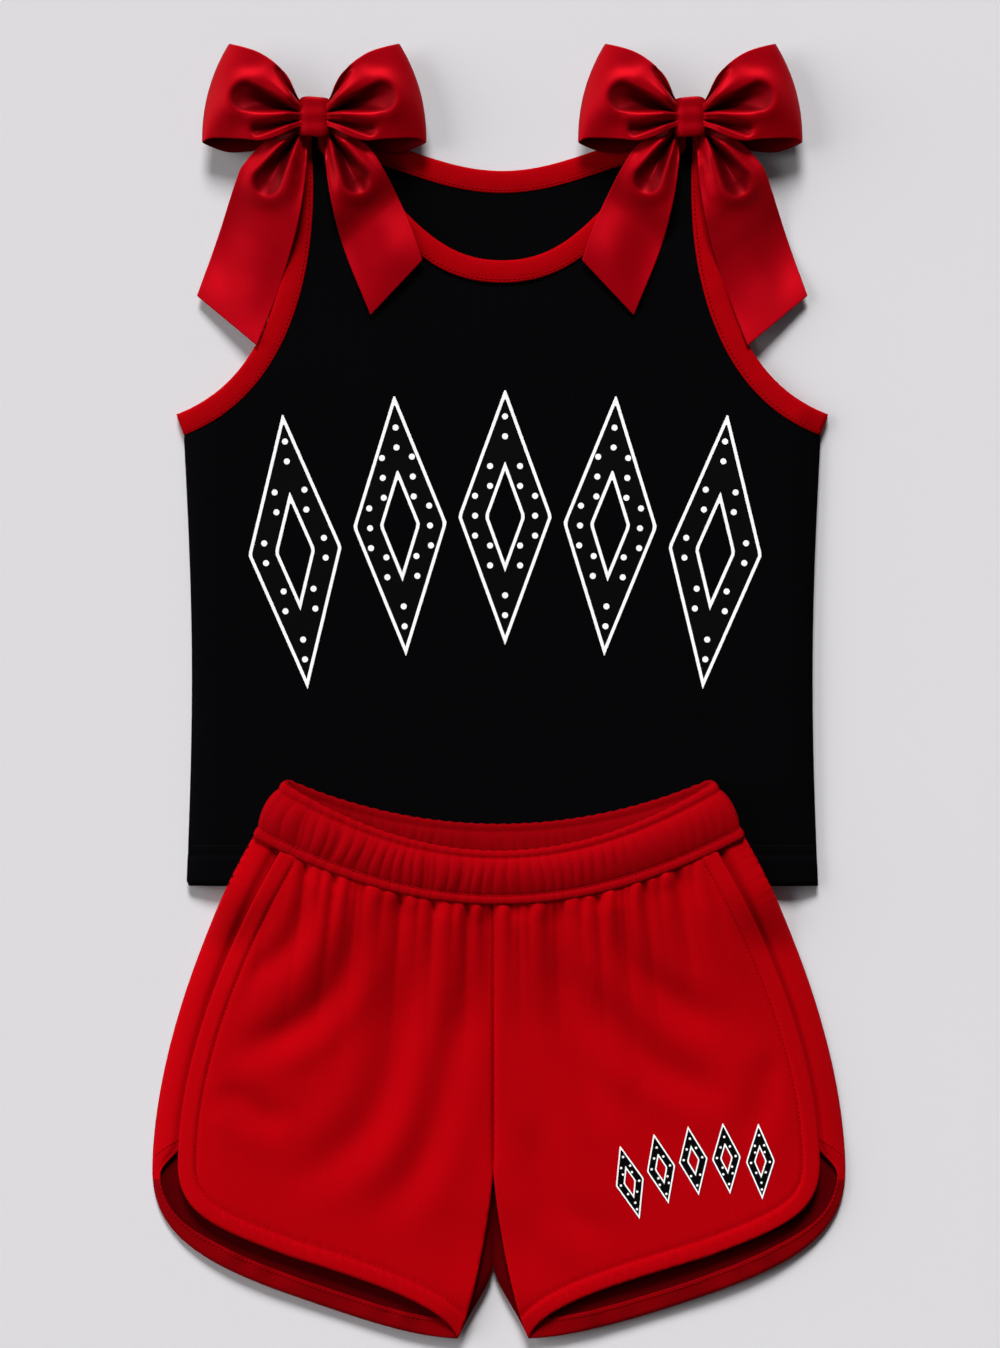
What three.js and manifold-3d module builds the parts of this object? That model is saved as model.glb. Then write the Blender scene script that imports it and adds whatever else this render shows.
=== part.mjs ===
// A girl's cheer uniform laid flat: a sleeveless knit top with a ribbon bow on each strap, and
// knit shorts whose gathered waistband lies over the top's hem. Millimetres. X runs to the right,
// Y towards the collar and Z up from the table. The curves below are drawn from the middle of the
// top's hem, and the finished group is centred on its own footprint, standing on Z = 0.
import * as THREE from "three";
import { mergeVertices } from "three/addons/utils/BufferGeometryUtils.js";
import Module from "manifold-3d";

const wasm = await Module();
wasm.setup();

// Clearances and cloth
const GAP = 0.3; // between pieces that touch
const KNIT = 1.2; // the top's jersey
const BINDING = 1.8; // folded binding round the neck and armholes
const SHORTS_KNIT = 1.0; // the shorts' lighter jersey
const RIBBON = 1.0; // doubled satin of the bows
const FILM = 0.4; // heat-pressed diamonds

// Top, measured flat from the middle of its hem
const TOP_X = 1.2; // how far the top lies to the right of the table's middle line
const HEM_HALF = 168.5;
const UNDERARM_X = 170;
const UNDERARM_Y = 240.5;
const TORSO_ROOM = 5; // room left between the front and the back
const BINDING_WIDTH = 12;
const KNOT_X = 100; // middle of each shoulder knot
const KNOT_Y = 409;
const STRAP_HALF_AT_KNOT = 1.8;
const STRAP_END = 8; // the straps end this far above the knot's middle, inside it
const STRAP_GATHER = 5; // and are gathered to their narrowest this far below the knot
const FRONT_NECK_Y = 321.6; // seam of the binding at the middle of the front
const BACK_NECK_Y = 370.1;
const ARMHOLE_HANDLES = [[-52, 17.5], [-6, -72]]; // Bezier handles at the underarm and the knot
const FRONT_NECK_HANDLES = [[42, 0], [-38, -42]];
const BACK_NECK_HANDLES = [[36, 0], [-36, -5]];
const SIDE_SEAM_SLOPE = 25; // the front comes down to the back over this width
const STRAP_SLOPE = 60;

// Diamonds pressed on the chest, and the smaller set on one leg of the shorts
const DIAMONDS = 5;
const CHEST = {
  x: 1.5, y: 197, // middle of the row's centre diamond
  pitch: 56, width: 50, height: 137,
  drop: 4.6, growth: 2.7, turn: 2.6, // arch: how much lower, taller and more turned the next ones are
  tilt: 0,
};
const LEG = {
  x: 103.5, y: -146,
  pitch: 17.6, width: 15.4, height: 37.5,
  drop: 1.5, growth: 0.8, turn: 3,
  tilt: 9,
};
const DIAMOND_HOLE = 0.36; // the open middle, as a share of the diamond

// Ribbon bows, with X away from the neck. The loops are drawn from the knot's side, the tails from
// its lower end, and their heights are measured up from the strap inside the knot.
const KNOT_WIDTH = 16.3;
const KNOT_LENGTH = 20.7;
const KNOT_HEIGHT = 11.7;
const KNOT_BAND = 0.9; // the turn of ribbon under the strap
const KNOT_WALL = 1.4;
const KNOT_SLACK = 0.95; // room left inside the knot beside the gathered strap
const LOOP_TOP_EDGE = [[0.3, 9.5], [6.6, 22.3], [19.6, 33.2], [36.9, 39.2], [42.4, 28]];
const LOOP_LOW_EDGE = [[0.3, -1.5], [15.8, -9.6], [25, -15.6], [36.8, -17.4], [51.8, -13.6]];
const LOOP_RIDGE = 7.4; // height of the loop's outer fold
const LOOP_PINCH = 2.2; // half thickness at the knot
const LOOP_PUFF = 18;
const TAILS = {
  outer: {
    left: [[4.9, -3.2], [5.4, -18.5], [10.3, -45.7], [20.1, -77.2], [31.6, -110.4]],
    right: [[8.6, -0.8], [23.4, -1.8], [35.4, -13.6], [41.9, -25], [63.1, -83.8]],
    leftLift: 0.7,
    rightLift: -5.5,
  },
  inner: {
    left: [[-8.6, -0.8], [-26.7, -4], [-36.4, -16.6], [-49.5, -42.3], [-57.6, -65.2]],
    right: [[-6.5, -2.6], [-6, -13], [-9.2, -34.7], [-15.8, -59.7], [-29.9, -94.5]],
    leftLift: 0.5,
    rightLift: 0.5,
  },
};
const TAIL_ROOT = 6.2; // height of a tail's middle at the knot

// Shorts, in the same directions as the top
const SHORTS_X = -0.6;
const CENTRE_SEAM_X = -3; // the legs meet a little left of the waist's middle
const RIM_HALF = 113; // waistband's upper edge
const SEAM_HALF = 129; // waistband's lower edge
const BAND_HEIGHT = 28.6;
const FRONT_RIM_Y = 19.4;
const FRONT_RIM_RISE = 35; // how much higher the rim lies at the sides
const BACK_RIM_Y = 33.2;
const BACK_RIM_RISE = 24.4;
const CASING_CLOTH = 0.9;
const ELASTIC = { thickness: 1.5, belowRim: 1.6, aboveSeam: 4 };
const WAIST_ROOM = 5;
const LEG_ROOM = 5.4;
const SHORTS_HALF = 185;
const VENT_Y = -152; // where a side vent's round corner starts
const HEM_BEND = [120, -215];
const HEM_LOW = [18.8, -241.5]; // inner corner of a leg's hem, from the centre seam
const CROTCH_Y = -190;
const SIDE_INSET = 14; // the back wraps round to a side seam on the front
const FRONT_RISE = 18; // the front hem is cut this much higher than the back one

const clamp = (value) => Math.min(1, Math.max(0, value));
const mix = (a, b, share) => a + (b - a) * share;
const ease = (from, to, value) => {
  const t = clamp((value - from) / (to - from));
  return t * t * (3 - 2 * t);
};

// Solids: a three.js geometry becomes a manifold for joining and cutting, and comes back as a mesh.
function solid(geometry) {
  const bare = new THREE.BufferGeometry();
  bare.setAttribute("position", geometry.getAttribute("position"));
  bare.setIndex(geometry.index);
  const merged = mergeVertices(bare, 1e-4);
  const vertProperties = new Float32Array(merged.attributes.position.array);
  const triVerts = new Uint32Array(merged.index.array);
  return new wasm.Manifold(new wasm.Mesh({ numProp: 3, vertProperties, triVerts }));
}

function mesh(name, made, color, roughness) {
  const { vertProperties, triVerts } = made.getMesh();
  const geometry = new THREE.BufferGeometry();
  geometry.setAttribute("position", new THREE.BufferAttribute(vertProperties, 3));
  geometry.setIndex(new THREE.BufferAttribute(triVerts, 1));
  geometry.computeVertexNormals();
  const result = new THREE.Mesh(
    geometry,
    new THREE.MeshStandardMaterial({ color, roughness, metalness: 0 }),
  );
  result.name = name;
  return result;
}

// A closed sheet of even thickness. place(u, v, side) gives the point for u and v from 0 to 1,
// with side -0.5 on the lower face and 0.5 on the upper one.
function sheet(columns, rows, place) {
  const geometry = new THREE.BoxGeometry(1, 1, 1, columns, rows, 1);
  const position = geometry.getAttribute("position");
  for (let i = 0; i < position.count; i++) {
    const [u, v, side] = [position.getX(i) + 0.5, position.getY(i) + 0.5, position.getZ(i)];
    position.setXYZ(i, ...place(u, v, side));
  }
  return solid(geometry);
}

// A panel of cloth: a draped sheet over the outline's box, cut to the outline. low(x, y) is the
// height of its lower face. The sheet bends most at its sides and its upper end, so its lines lie
// closer together there.
function panel(outline, thickness, low, columns = 16, rows = 24) {
  const box = new THREE.Box2().setFromPoints(outline);
  const [centre, size] = [box.getCenter(new THREE.Vector2()), box.getSize(new THREE.Vector2())];
  const spare = 1;
  const draped = sheet(columns, rows, (u, v, side) => {
    const x = centre.x + Math.sin((u - 0.5) * Math.PI) * (size.x / 2 + spare);
    const y = mix(box.min.y - spare, box.max.y + spare, Math.sin((v * Math.PI) / 2));
    return [x, y, low(x, y) + (side + 0.5) * thickness];
  });
  const deep = 200;
  const cutter = new THREE.ExtrudeGeometry(new THREE.Shape(outline), { depth: deep, bevelEnabled: false });
  cutter.translate(0, 0, -deep / 2);
  return draped.intersect(solid(cutter));
}

const bezier = (from, [a, b], to, steps) =>
  new THREE.CubicBezierCurve(
    new THREE.Vector2(...from),
    new THREE.Vector2(from[0] + a[0], from[1] + a[1]),
    new THREE.Vector2(to[0] + b[0], to[1] + b[1]),
    new THREE.Vector2(...to),
  ).getPoints(steps);

// Moves a row of points to its left by a width that may change from point to point.
function aside(points, width) {
  return points.map((point, i) => {
    const before = points[Math.max(i - 1, 0)];
    const after = points[Math.min(i + 1, points.length - 1)];
    const along = after.clone().sub(before).normalize();
    return point.clone().add(new THREE.Vector2(-along.y, along.x).multiplyScalar(width(point)));
  });
}

const mirrored = (points) => points.map((p) => new THREE.Vector2(-p.x, p.y)).reverse();

// The top's seams on the right half. Each runs up to the strap's end inside the knot.
const strapTop = KNOT_Y + STRAP_END;
const gatherY = KNOT_Y - KNOT_LENGTH / 2 - STRAP_GATHER;
const armholeEnd = [KNOT_X + STRAP_HALF_AT_KNOT, gatherY];
const neckEnd = [KNOT_X - STRAP_HALF_AT_KNOT, gatherY];
const withEnd = (points) => [...points, new THREE.Vector2(points.at(-1).x, strapTop)];
const armholeSeam = withEnd(bezier([UNDERARM_X, UNDERARM_Y], ARMHOLE_HANDLES, armholeEnd, 14));
const frontNeckSeam = withEnd(bezier([0, FRONT_NECK_Y], FRONT_NECK_HANDLES, neckEnd, 12));
const backNeckSeam = withEnd(bezier([0, BACK_NECK_Y], BACK_NECK_HANDLES, neckEnd, 12));

const fromKnot = (p) => Math.hypot(Math.abs(p.x) - KNOT_X, p.y - KNOT_Y);
const boundAtKnot = KNOT_WIDTH / 2 - KNOT_WALL - KNOT_SLACK - STRAP_HALF_AT_KNOT;
const boundWidth = (p) => mix(boundAtKnot, BINDING_WIDTH, ease(12, 45, fromKnot(p)));
const backLow = (x, y) => (KNOT_BAND + GAP) * (1 - ease(KNOT_LENGTH / 2 + 2, STRAP_SLOPE, KNOT_Y - y));
const puffed = (x, y) =>
  ease(0, SIDE_SEAM_SLOPE, UNDERARM_X - Math.abs(x)) * ease(KNOT_LENGTH / 2, STRAP_SLOPE, KNOT_Y - y);
const frontLow = (x, y) => backLow(x, y) + KNIT + GAP + (TORSO_ROOM - GAP) * puffed(x, y);

// The outline of a top panel: hem, side, armhole seam and neck seam, then the same on the left.
function topOutline(neckSeam) {
  const clear = () => GAP;
  const armhole = aside(armholeSeam, clear);
  const neck = aside(neckSeam, () => -GAP).slice(1);
  const right = [new THREE.Vector2(HEM_HALF, 0), ...armhole, ...neck.reverse()];
  return [...right, new THREE.Vector2(0, neckSeam[0].y - GAP), ...mirrored(right)];
}

// One run of binding beside a seam, on the side away from the cloth.
function boundEdge(seam, side, low) {
  const edge = aside(seam, (p) => side * boundWidth(p));
  return panel([...seam, ...edge.reverse()], BINDING, low, 10, 14);
}

// A closed outline all across, for a binding that runs from one shoulder to the other.
function neckRun(seam, low) {
  const whole = [...mirrored(seam), ...seam.slice(1)];
  const edge = aside(whole, boundWidth);
  return panel([...whole, ...edge.reverse()], BINDING, low, 22, 10);
}

const black = 0x0a0a0a;
const red = 0xa8040c;
const satin = 0xb80818;

const top = new THREE.Group();
top.position.x = TOP_X;
top.add(mesh("top_back_panel", panel(topOutline(backNeckSeam), KNIT, backLow), black, 0.9));
top.add(mesh("top_front_panel", panel(topOutline(frontNeckSeam), KNIT, frontLow), black, 0.9));
top.add(
  mesh("neck_binding", neckRun(backNeckSeam, backLow).add(neckRun(frontNeckSeam, frontLow)), red, 0.8),
);
for (const [name, sign] of [["left", -1], ["right", 1]]) {
  const seam = sign > 0 ? armholeSeam : mirrored(armholeSeam);
  const made = boundEdge(seam, -1, backLow).add(boundEdge(seam, -1, frontLow));
  top.add(mesh(`${name}_armhole_binding`, made, red, 0.8));
}

// A tall open diamond of film, lying flat.
function diamond(place, step) {
  const outline = (share) => {
    const [w, h] = [place.width * share, (place.height + place.growth * step * step) * share];
    return [[0, -h / 2], [w / 2, 0], [0, h / 2], [-w / 2, 0]].map((p) => new THREE.Vector2(...p));
  };
  const shape = new THREE.Shape(outline(1));
  shape.holes.push(new THREE.Path(outline(DIAMOND_HOLE)));
  const geometry = new THREE.ExtrudeGeometry(shape, { depth: FILM, bevelEnabled: false });
  geometry.rotateZ(THREE.MathUtils.degToRad(-place.turn * step));
  geometry.translate(place.pitch * step, -place.drop * step * step, 0);
  geometry.rotateZ(THREE.MathUtils.degToRad(place.tilt));
  return geometry.translate(place.x, place.y, 0);
}

function addDiamonds(group, name, place, height) {
  for (let i = 0; i < DIAMONDS; i++) {
    const geometry = diamond(place, i - (DIAMONDS - 1) / 2).translate(0, 0, height + GAP);
    group.add(mesh(`${name}_diamond_${i + 1}`, solid(geometry), 0x141414, 0.5));
  }
}
addDiamonds(top, "chest", CHEST, KNIT + TORSO_ROOM + KNIT);

// Bows. reach gives a point between two edges, each a curve through a few points.
const edgeCurve = (points) => new THREE.SplineCurve(points.map((p) => new THREE.Vector2(...p)));
function reach(edges, along, across) {
  const [a, b] = edges.map((edge) => edge.getPoint(along));
  return a.lerp(b, across);
}

// Upper face of a strap and its binding inside the knot, and of the binding round the open top.
const strapFace = KNOT_BAND + GAP + KNIT + GAP + BINDING;
const boundFace = KNIT + TORSO_ROOM + BINDING;

// A loop of ribbon: a strip that leaves the knot along the table, turns over at its outer fold
// and comes back to the knot above.
function bowLoop() {
  const edges = [edgeCurve(LOOP_LOW_EDGE), edgeCurve(LOOP_TOP_EDGE)];
  return sheet(20, 5, (u, v, side) => {
    const out = Math.sin(Math.PI * u);
    const turn = Math.cos(Math.PI * u);
    const flat = reach(edges, out * 0.97, v);
    const inset = side * RIBBON * out * out;
    const towardsKnot = flat.clone().normalize().multiplyScalar(inset);
    const height = strapFace + LOOP_RIDGE - turn * (LOOP_PINCH + LOOP_PUFF * out * out);
    const x = KNOT_WIDTH / 2 + flat.x - towardsKnot.x;
    return [x, flat.y - towardsKnot.y, height + side * turn * RIBBON];
  });
}

// A tail comes down from the knot to lie just above the binding, or past it nearer the table.
function bowTail({ left, right, leftLift, rightLift }) {
  const edges = [edgeCurve(left), edgeCurve(right)];
  return sheet(8, 4, (u, v, side) => {
    const flat = reach(edges, u, v);
    const end = boundFace + mix(leftLift, rightLift, v) + RIBBON / 2;
    const height = mix(strapFace + TAIL_ROOT, end, ease(0, 1, u));
    return [flat.x, flat.y - KNOT_LENGTH / 2, height + side * RIBBON];
  });
}

// The knot is a band of ribbon right round the strap, with a padded top.
function bowKnot() {
  const [half, round, knotTop] = [KNOT_WIDTH / 2, 4, strapFace + KNOT_HEIGHT];
  const shape = new THREE.Shape();
  shape.moveTo(-half, 0).lineTo(half, 0).lineTo(half, knotTop - round);
  shape.quadraticCurveTo(half, knotTop, 0, knotTop);
  shape.quadraticCurveTo(-half, knotTop, -half, knotTop - round);
  const [room, ceiling] = [half - KNOT_WALL, strapFace + GAP];
  const hole = [[-room, KNOT_BAND], [room, KNOT_BAND], [room, ceiling], [-room, ceiling]];
  shape.holes.push(new THREE.Path(hole.map((p) => new THREE.Vector2(...p))));
  const geometry = new THREE.ExtrudeGeometry(shape, {
    depth: KNOT_LENGTH,
    bevelEnabled: false,
    curveSegments: 6,
  });
  geometry.rotateX(Math.PI / 2);
  return solid(geometry.translate(0, KNOT_LENGTH / 2, 0));
}

const bowPieces = {
  knot: bowKnot(),
  outer_loop: bowLoop(),
  inner_loop: bowLoop().mirror([1, 0, 0]),
  outer_tail: bowTail(TAILS.outer),
  inner_tail: bowTail(TAILS.inner),
};
for (const [name, sign] of [["left", -1], ["right", 1]]) {
  for (const [piece, made] of Object.entries(bowPieces)) {
    const turned = sign > 0 ? made : made.mirror([1, 0, 0]);
    const placed = mesh(`${name}_bow_${piece}`, turned, satin, 0.35);
    placed.position.set(sign * KNOT_X, KNOT_Y, 0);
    top.add(placed);
  }
}

// Shorts. The waistband is a ring pressed flat: c is the cosine round the ring, level is 1 on the
// front run and 0 on the back run.
const topFace = KNIT + TORSO_ROOM + KNIT;
const casing = 2 * CASING_CLOTH + 2 * GAP + ELASTIC.thickness;
const runHeight = (WAIST_ROOM + casing) / 2;
const bandMiddle = topFace + GAP + casing / 2 + runHeight;
const rimY = (c, level) =>
  mix(BACK_RIM_Y + BACK_RIM_RISE * c * c, FRONT_RIM_Y + FRONT_RIM_RISE * c * c, level);

// Share of the way from the back run to the front one at a cosine c round the ring, on the front
// half for run 1 and on the back half for run -1.
const runLevel = (c, run) => (1 + run * Math.max(0, 1 - c * c) ** 0.1) / 2;

function band(profile) {
  const radius = 100;
  const points = [...profile, profile[0]].map(([out, down]) => new THREE.Vector2(radius + out, -down));
  points.reverse();
  const geometry = new THREE.LatheGeometry(points, 56);
  const position = geometry.getAttribute("position");
  for (let i = 0; i < position.count; i++) {
    const [x, z] = [position.getX(i), position.getZ(i)];
    const [out, down] = [Math.hypot(x, z) - radius, -position.getY(i)];
    const angle = Math.atan2(z, x);
    const c = Math.abs(z) < 1e-6 ? Math.sign(x) : Math.cos(angle);
    const level = runLevel(c, Math.sign(z));
    const flat = 2 * level - 1;
    const normal = new THREE.Vector2(Math.sign(c) * Math.abs(c) ** 8, flat).normalize();
    const half = mix(RIM_HALF, SEAM_HALF, down / BAND_HEIGHT);
    const y = rimY(c, level) - down;
    position.setXYZ(i, half * c + out * normal.x, y, bandMiddle + runHeight * flat + out * normal.y);
  }
  return solid(geometry);
}

const wall = casing / 2;
const inner = wall - CASING_CLOTH;
const casingProfile = [
  [wall, BAND_HEIGHT], [inner, BAND_HEIGHT], [inner, 1.2], [-inner, 1.2], [-inner, BAND_HEIGHT],
  [-wall, BAND_HEIGHT], [-wall, 0.7], [-wall + 0.7, 0], [wall - 0.7, 0], [wall, 0.7],
];
const elasticHalf = ELASTIC.thickness / 2;
const elasticEnd = BAND_HEIGHT - ELASTIC.aboveSeam;
const elasticProfile = [
  [elasticHalf, elasticEnd], [-elasticHalf, elasticEnd],
  [-elasticHalf, ELASTIC.belowRim], [elasticHalf, ELASTIC.belowRim],
];

// Heights of the shorts' two layers: over the top's hem they lie at the waistband's own runs, and
// past the hem they come down to the table.
const backRun = bandMiddle - runHeight;
const frontRun = bandMiddle + runHeight;
const shortsBackLow = (x, y) => mix(0, backRun - SHORTS_KNIT / 2, ease(-34, 0, y));
const shortsFrontLow = (x, y) => {
  const back = shortsBackLow(x, y);
  const low = mix(SHORTS_KNIT + LEG_ROOM, frontRun - SHORTS_KNIT / 2, ease(-80, 0, y));
  const side = ease(0, 22, SHORTS_HALF - SIDE_INSET - sideLoss(y) - Math.abs(x));
  const leg = Math.abs(x - CENTRE_SEAM_X) - innerLeg(y);
  const inseam = mix(1, ease(0, 20, leg), ease(CROTCH_Y + 20, CROTCH_Y, y));
  return mix(back + SHORTS_KNIT + GAP, low, side * inseam);
};
const sideHandles = [[29, -49], [0, 57]];
const sideTop = [SEAM_HALF, BACK_RIM_Y + BACK_RIM_RISE - BAND_HEIGHT];
const sideCurve = bezier(sideTop, sideHandles, [SHORTS_HALF, VENT_Y], 12);
function sideLoss(y) {
  const after = sideCurve.findIndex((p) => p.y < y);
  if (after < 0) return 0;
  if (after === 0) return SHORTS_HALF - SEAM_HALF;
  const [a, b] = [sideCurve[after - 1], sideCurve[after]];
  return SHORTS_HALF - mix(a.x, b.x, (y - a.y) / (b.y - a.y));
}
const innerLeg = (y) => HEM_LOW[0] * clamp((CROTCH_Y - y) / (CROTCH_Y - HEM_LOW[1])) ** 1.4;

// Half of the shorts, on the right: waist seam, side, round vent corner, hem, inner leg.
function legOutline(sign, inset, rise, run) {
  const [waist, steps] = [[], 14];
  for (let i = 0; i <= steps; i++) {
    const x = (i / steps) * (SEAM_HALF - inset);
    const c = x / SEAM_HALF;
    waist.push(new THREE.Vector2(x, rimY(c, runLevel(c, run)) - BAND_HEIGHT - GAP));
  }
  const start = waist.at(-1);
  const corner = [SHORTS_HALF - inset, VENT_Y + rise * 0.2];
  const bend = [HEM_BEND[0] - inset * 0.6, HEM_BEND[1] + rise];
  const low = [HEM_LOW[0] + CENTRE_SEAM_X * sign, HEM_LOW[1]];
  const points = [
    ...waist,
    ...bezier([start.x, start.y], sideHandles, corner, 12).slice(1),
    ...bezier(corner, [[0, -33 + rise * 0.4], [40, 15]], bend, 6).slice(1),
    ...bezier(bend, [[-50, -18], [21.2, 0.5 + rise * 0.8]], low, 6).slice(1),
    ...bezier(low, [[-9, 17], [2, -15]], [CENTRE_SEAM_X * sign, CROTCH_Y], 5).slice(1),
  ];
  points[0].x = CENTRE_SEAM_X * sign;
  const half = points.map((p) => new THREE.Vector2(p.x, p.y));
  half[0].x += GAP / 2;
  half.at(-1).x += GAP / 2;
  return sign > 0 ? half : mirrored(half);
}

const shorts = new THREE.Group();
shorts.position.x = SHORTS_X;
for (const [name, sign] of [["left", -1], ["right", 1]]) {
  const back = panel(legOutline(sign, 0, 0, -1), SHORTS_KNIT, shortsBackLow, 6, 14);
  const front = panel(legOutline(sign, SIDE_INSET, FRONT_RISE, 1), SHORTS_KNIT, shortsFrontLow, 10, 18);
  shorts.add(mesh(`shorts_back_${name}`, back, red, 0.8));
  shorts.add(mesh(`shorts_front_${name}`, front, red, 0.8));
}
shorts.add(mesh("waistband_casing", band(casingProfile), red, 0.8));
shorts.add(mesh("waist_elastic", band(elasticProfile), 0xe8e4da, 0.7));
addDiamonds(shorts, "leg", LEG, SHORTS_KNIT + LEG_ROOM + SHORTS_KNIT);

const laid = new THREE.Group();
laid.add(top, shorts);
const middle = new THREE.Box3().setFromObject(laid);
const centre = middle.getCenter(new THREE.Vector3());
laid.position.set(-centre.x, -centre.y, -middle.min.z);

const uniform = new THREE.Group();
uniform.add(laid);
export default uniform;
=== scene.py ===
"""A child's cheer uniform laid flat on a table: a black sleeveless top with satin bows, and red shorts."""

import math

import bpy
import numpy as np
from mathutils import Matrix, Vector
from mathutils.geometry import delaunay_2d_cdt


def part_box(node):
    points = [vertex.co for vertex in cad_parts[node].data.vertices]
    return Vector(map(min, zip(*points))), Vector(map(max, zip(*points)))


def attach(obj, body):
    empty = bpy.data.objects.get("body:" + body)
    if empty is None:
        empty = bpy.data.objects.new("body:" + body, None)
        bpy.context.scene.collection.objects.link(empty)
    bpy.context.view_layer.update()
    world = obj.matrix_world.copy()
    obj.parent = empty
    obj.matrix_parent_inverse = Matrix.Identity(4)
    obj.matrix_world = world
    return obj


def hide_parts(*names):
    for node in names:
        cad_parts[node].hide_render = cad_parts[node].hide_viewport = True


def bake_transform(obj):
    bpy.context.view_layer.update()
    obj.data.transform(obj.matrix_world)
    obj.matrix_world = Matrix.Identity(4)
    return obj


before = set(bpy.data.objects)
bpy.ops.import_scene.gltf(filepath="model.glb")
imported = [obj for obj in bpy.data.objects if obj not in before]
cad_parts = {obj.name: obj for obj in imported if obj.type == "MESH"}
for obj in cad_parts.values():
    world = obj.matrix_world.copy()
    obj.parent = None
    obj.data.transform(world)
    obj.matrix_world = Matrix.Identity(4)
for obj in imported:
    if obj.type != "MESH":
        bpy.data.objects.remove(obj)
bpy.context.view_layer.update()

# --- The table and the light ---------------------------------------------------------------------
# The set lies on a pale painted board. A wide soft light stands far beyond the collar, so that
# shadows fall softly towards the hems, and a weaker one to the left brings out the upright folds.

FLOOR_GREY = "#dcdadd"


def linear(code):
    """An sRGB hex colour as linear RGBA."""
    parts = [int(code[i : i + 2], 16) / 255 for i in (1, 3, 5)]
    return [c / 12.92 if c <= 0.04045 else ((c + 0.055) / 1.055) ** 2.4 for c in parts] + [1.0]


def add(tree, kind, settings=None, links=None):
    """Adds a node, gives it its settings and plain inputs, and links its other inputs."""
    made = tree.nodes.new(kind)
    for name, value in (settings or {}).items():
        if isinstance(name, str) and hasattr(made, name):
            setattr(made, name, value)
        else:
            made.inputs[name].default_value = value
    for name, source in (links or {}).items():
        tree.links.new(source, made.inputs[name])
    return made


def new_material(name):
    """An empty node material, with its tree and its output node."""
    made = bpy.data.materials.new(name)
    made.use_nodes = True
    made.node_tree.nodes.clear()
    return made, made.node_tree, add(made.node_tree, "ShaderNodeOutputMaterial")


def put(name, data):
    """A new object in the scene."""
    made = bpy.data.objects.new(name, data)
    bpy.context.scene.collection.objects.link(made)
    return made


def object_place(tree):
    """Where a point lies on the object, in metres."""
    return add(tree, "ShaderNodeTexCoord").outputs["Object"]


def noise(tree, place, scale, detail):
    """Cloudy noise; a larger scale is finer."""
    settings = {"Scale": scale, "Detail": detail}
    return add(tree, "ShaderNodeTexNoise", settings, {"Vector": place}).outputs["Fac"]


def bumped(tree, height, strength, tall):
    """The surface's direction, tilted as a relief this many metres tall would tilt it."""
    settings = {"Strength": strength, "Distance": tall}
    return add(tree, "ShaderNodeBump", settings, {"Height": height}).outputs["Normal"]


def surfaced(tree, out, settings, links):
    """Finishes a material with one surface shader."""
    shader = add(tree, "ShaderNodeBsdfPrincipled", settings, links)
    tree.links.new(shader.outputs[0], out.inputs["Surface"])


# Matt emulsion on board: a flat grey with the faintest roller texture.
board, tree, out = new_material("matt_painted_board")
roller = noise(tree, object_place(tree), 900.0, 2.0)
surfaced(
    tree,
    out,
    {"Base Color": linear(FLOOR_GREY), "Roughness": 0.9, "Specular IOR Level": 0.2},
    {"Normal": bumped(tree, roller, 0.06, 0.0003)},
)

TABLE_HALF = 4.0
table_mesh = bpy.data.meshes.new("table")
corners = [(-1, -1), (1, -1), (1, 1), (-1, 1)]
table_mesh.from_pydata([(x * TABLE_HALF, y * TABLE_HALF, 0) for x, y in corners], [], [(0, 1, 2, 3)])
table = put("table", table_mesh)
table.data.materials.append(board)

# A low sweep of pale paper rings the table, a long way off. It shows only behind the set: it takes
# no part in lighting it and casts no shadow.
paper, tree, out = new_material("pale_backing_paper")
glow = add(tree, "ShaderNodeEmission", {"Color": linear("#dddbde")})
tree.links.new(glow.outputs[0], out.inputs["Surface"])
SWEEP_START, SWEEP_BEND, SWEEP_TOP, SWEEP_SIDES = 3.6, 0.6, 1.8, 72
rise = np.linspace(0, math.pi / 2, 9)
profile = [(SWEEP_START + SWEEP_BEND * math.sin(a), SWEEP_BEND - SWEEP_BEND * math.cos(a)) for a in rise]
profile.append((SWEEP_START + SWEEP_BEND, SWEEP_TOP))
ring = np.linspace(0, 2 * math.pi, SWEEP_SIDES + 1)[:-1]
sweep_points = [(r * math.cos(a), r * math.sin(a), z) for a in ring for r, z in profile]
sweep_faces = []
for i in range(SWEEP_SIDES):
    here, there = i * len(profile), (i + 1) % SWEEP_SIDES * len(profile)
    sweep_faces += [(here + j, there + j, there + j + 1, here + j + 1) for j in range(len(profile) - 1)]
sweep_mesh = bpy.data.meshes.new("paper_sweep")
sweep_mesh.from_pydata(sweep_points, [], sweep_faces)
sweep = put("paper_sweep", sweep_mesh)
sweep.data.materials.append(paper)
sweep.visible_shadow = sweep.visible_diffuse = sweep.visible_glossy = False


def far_softbox(name, turn, height, strength, spread):
    """A large soft light a long way off, at a compass turn from +Y and a height in degrees."""
    data = bpy.data.lights.new(name, "SUN")
    data.energy, data.angle = strength, math.radians(spread)
    put(name, data).rotation_euler = (math.radians(height - 90), 0, math.radians(turn))


far_softbox("key_softbox", 3, 35, 3.7, 20)
far_softbox("side_softbox", 78, 26, 1.9, 50)

world = bpy.data.worlds.new("studio")
bpy.context.scene.world = world
world.use_nodes = True
room = world.node_tree.nodes["Background"]
room.inputs["Color"].default_value = linear("#f4f4f8")
room.inputs["Strength"].default_value = 0.07

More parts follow.
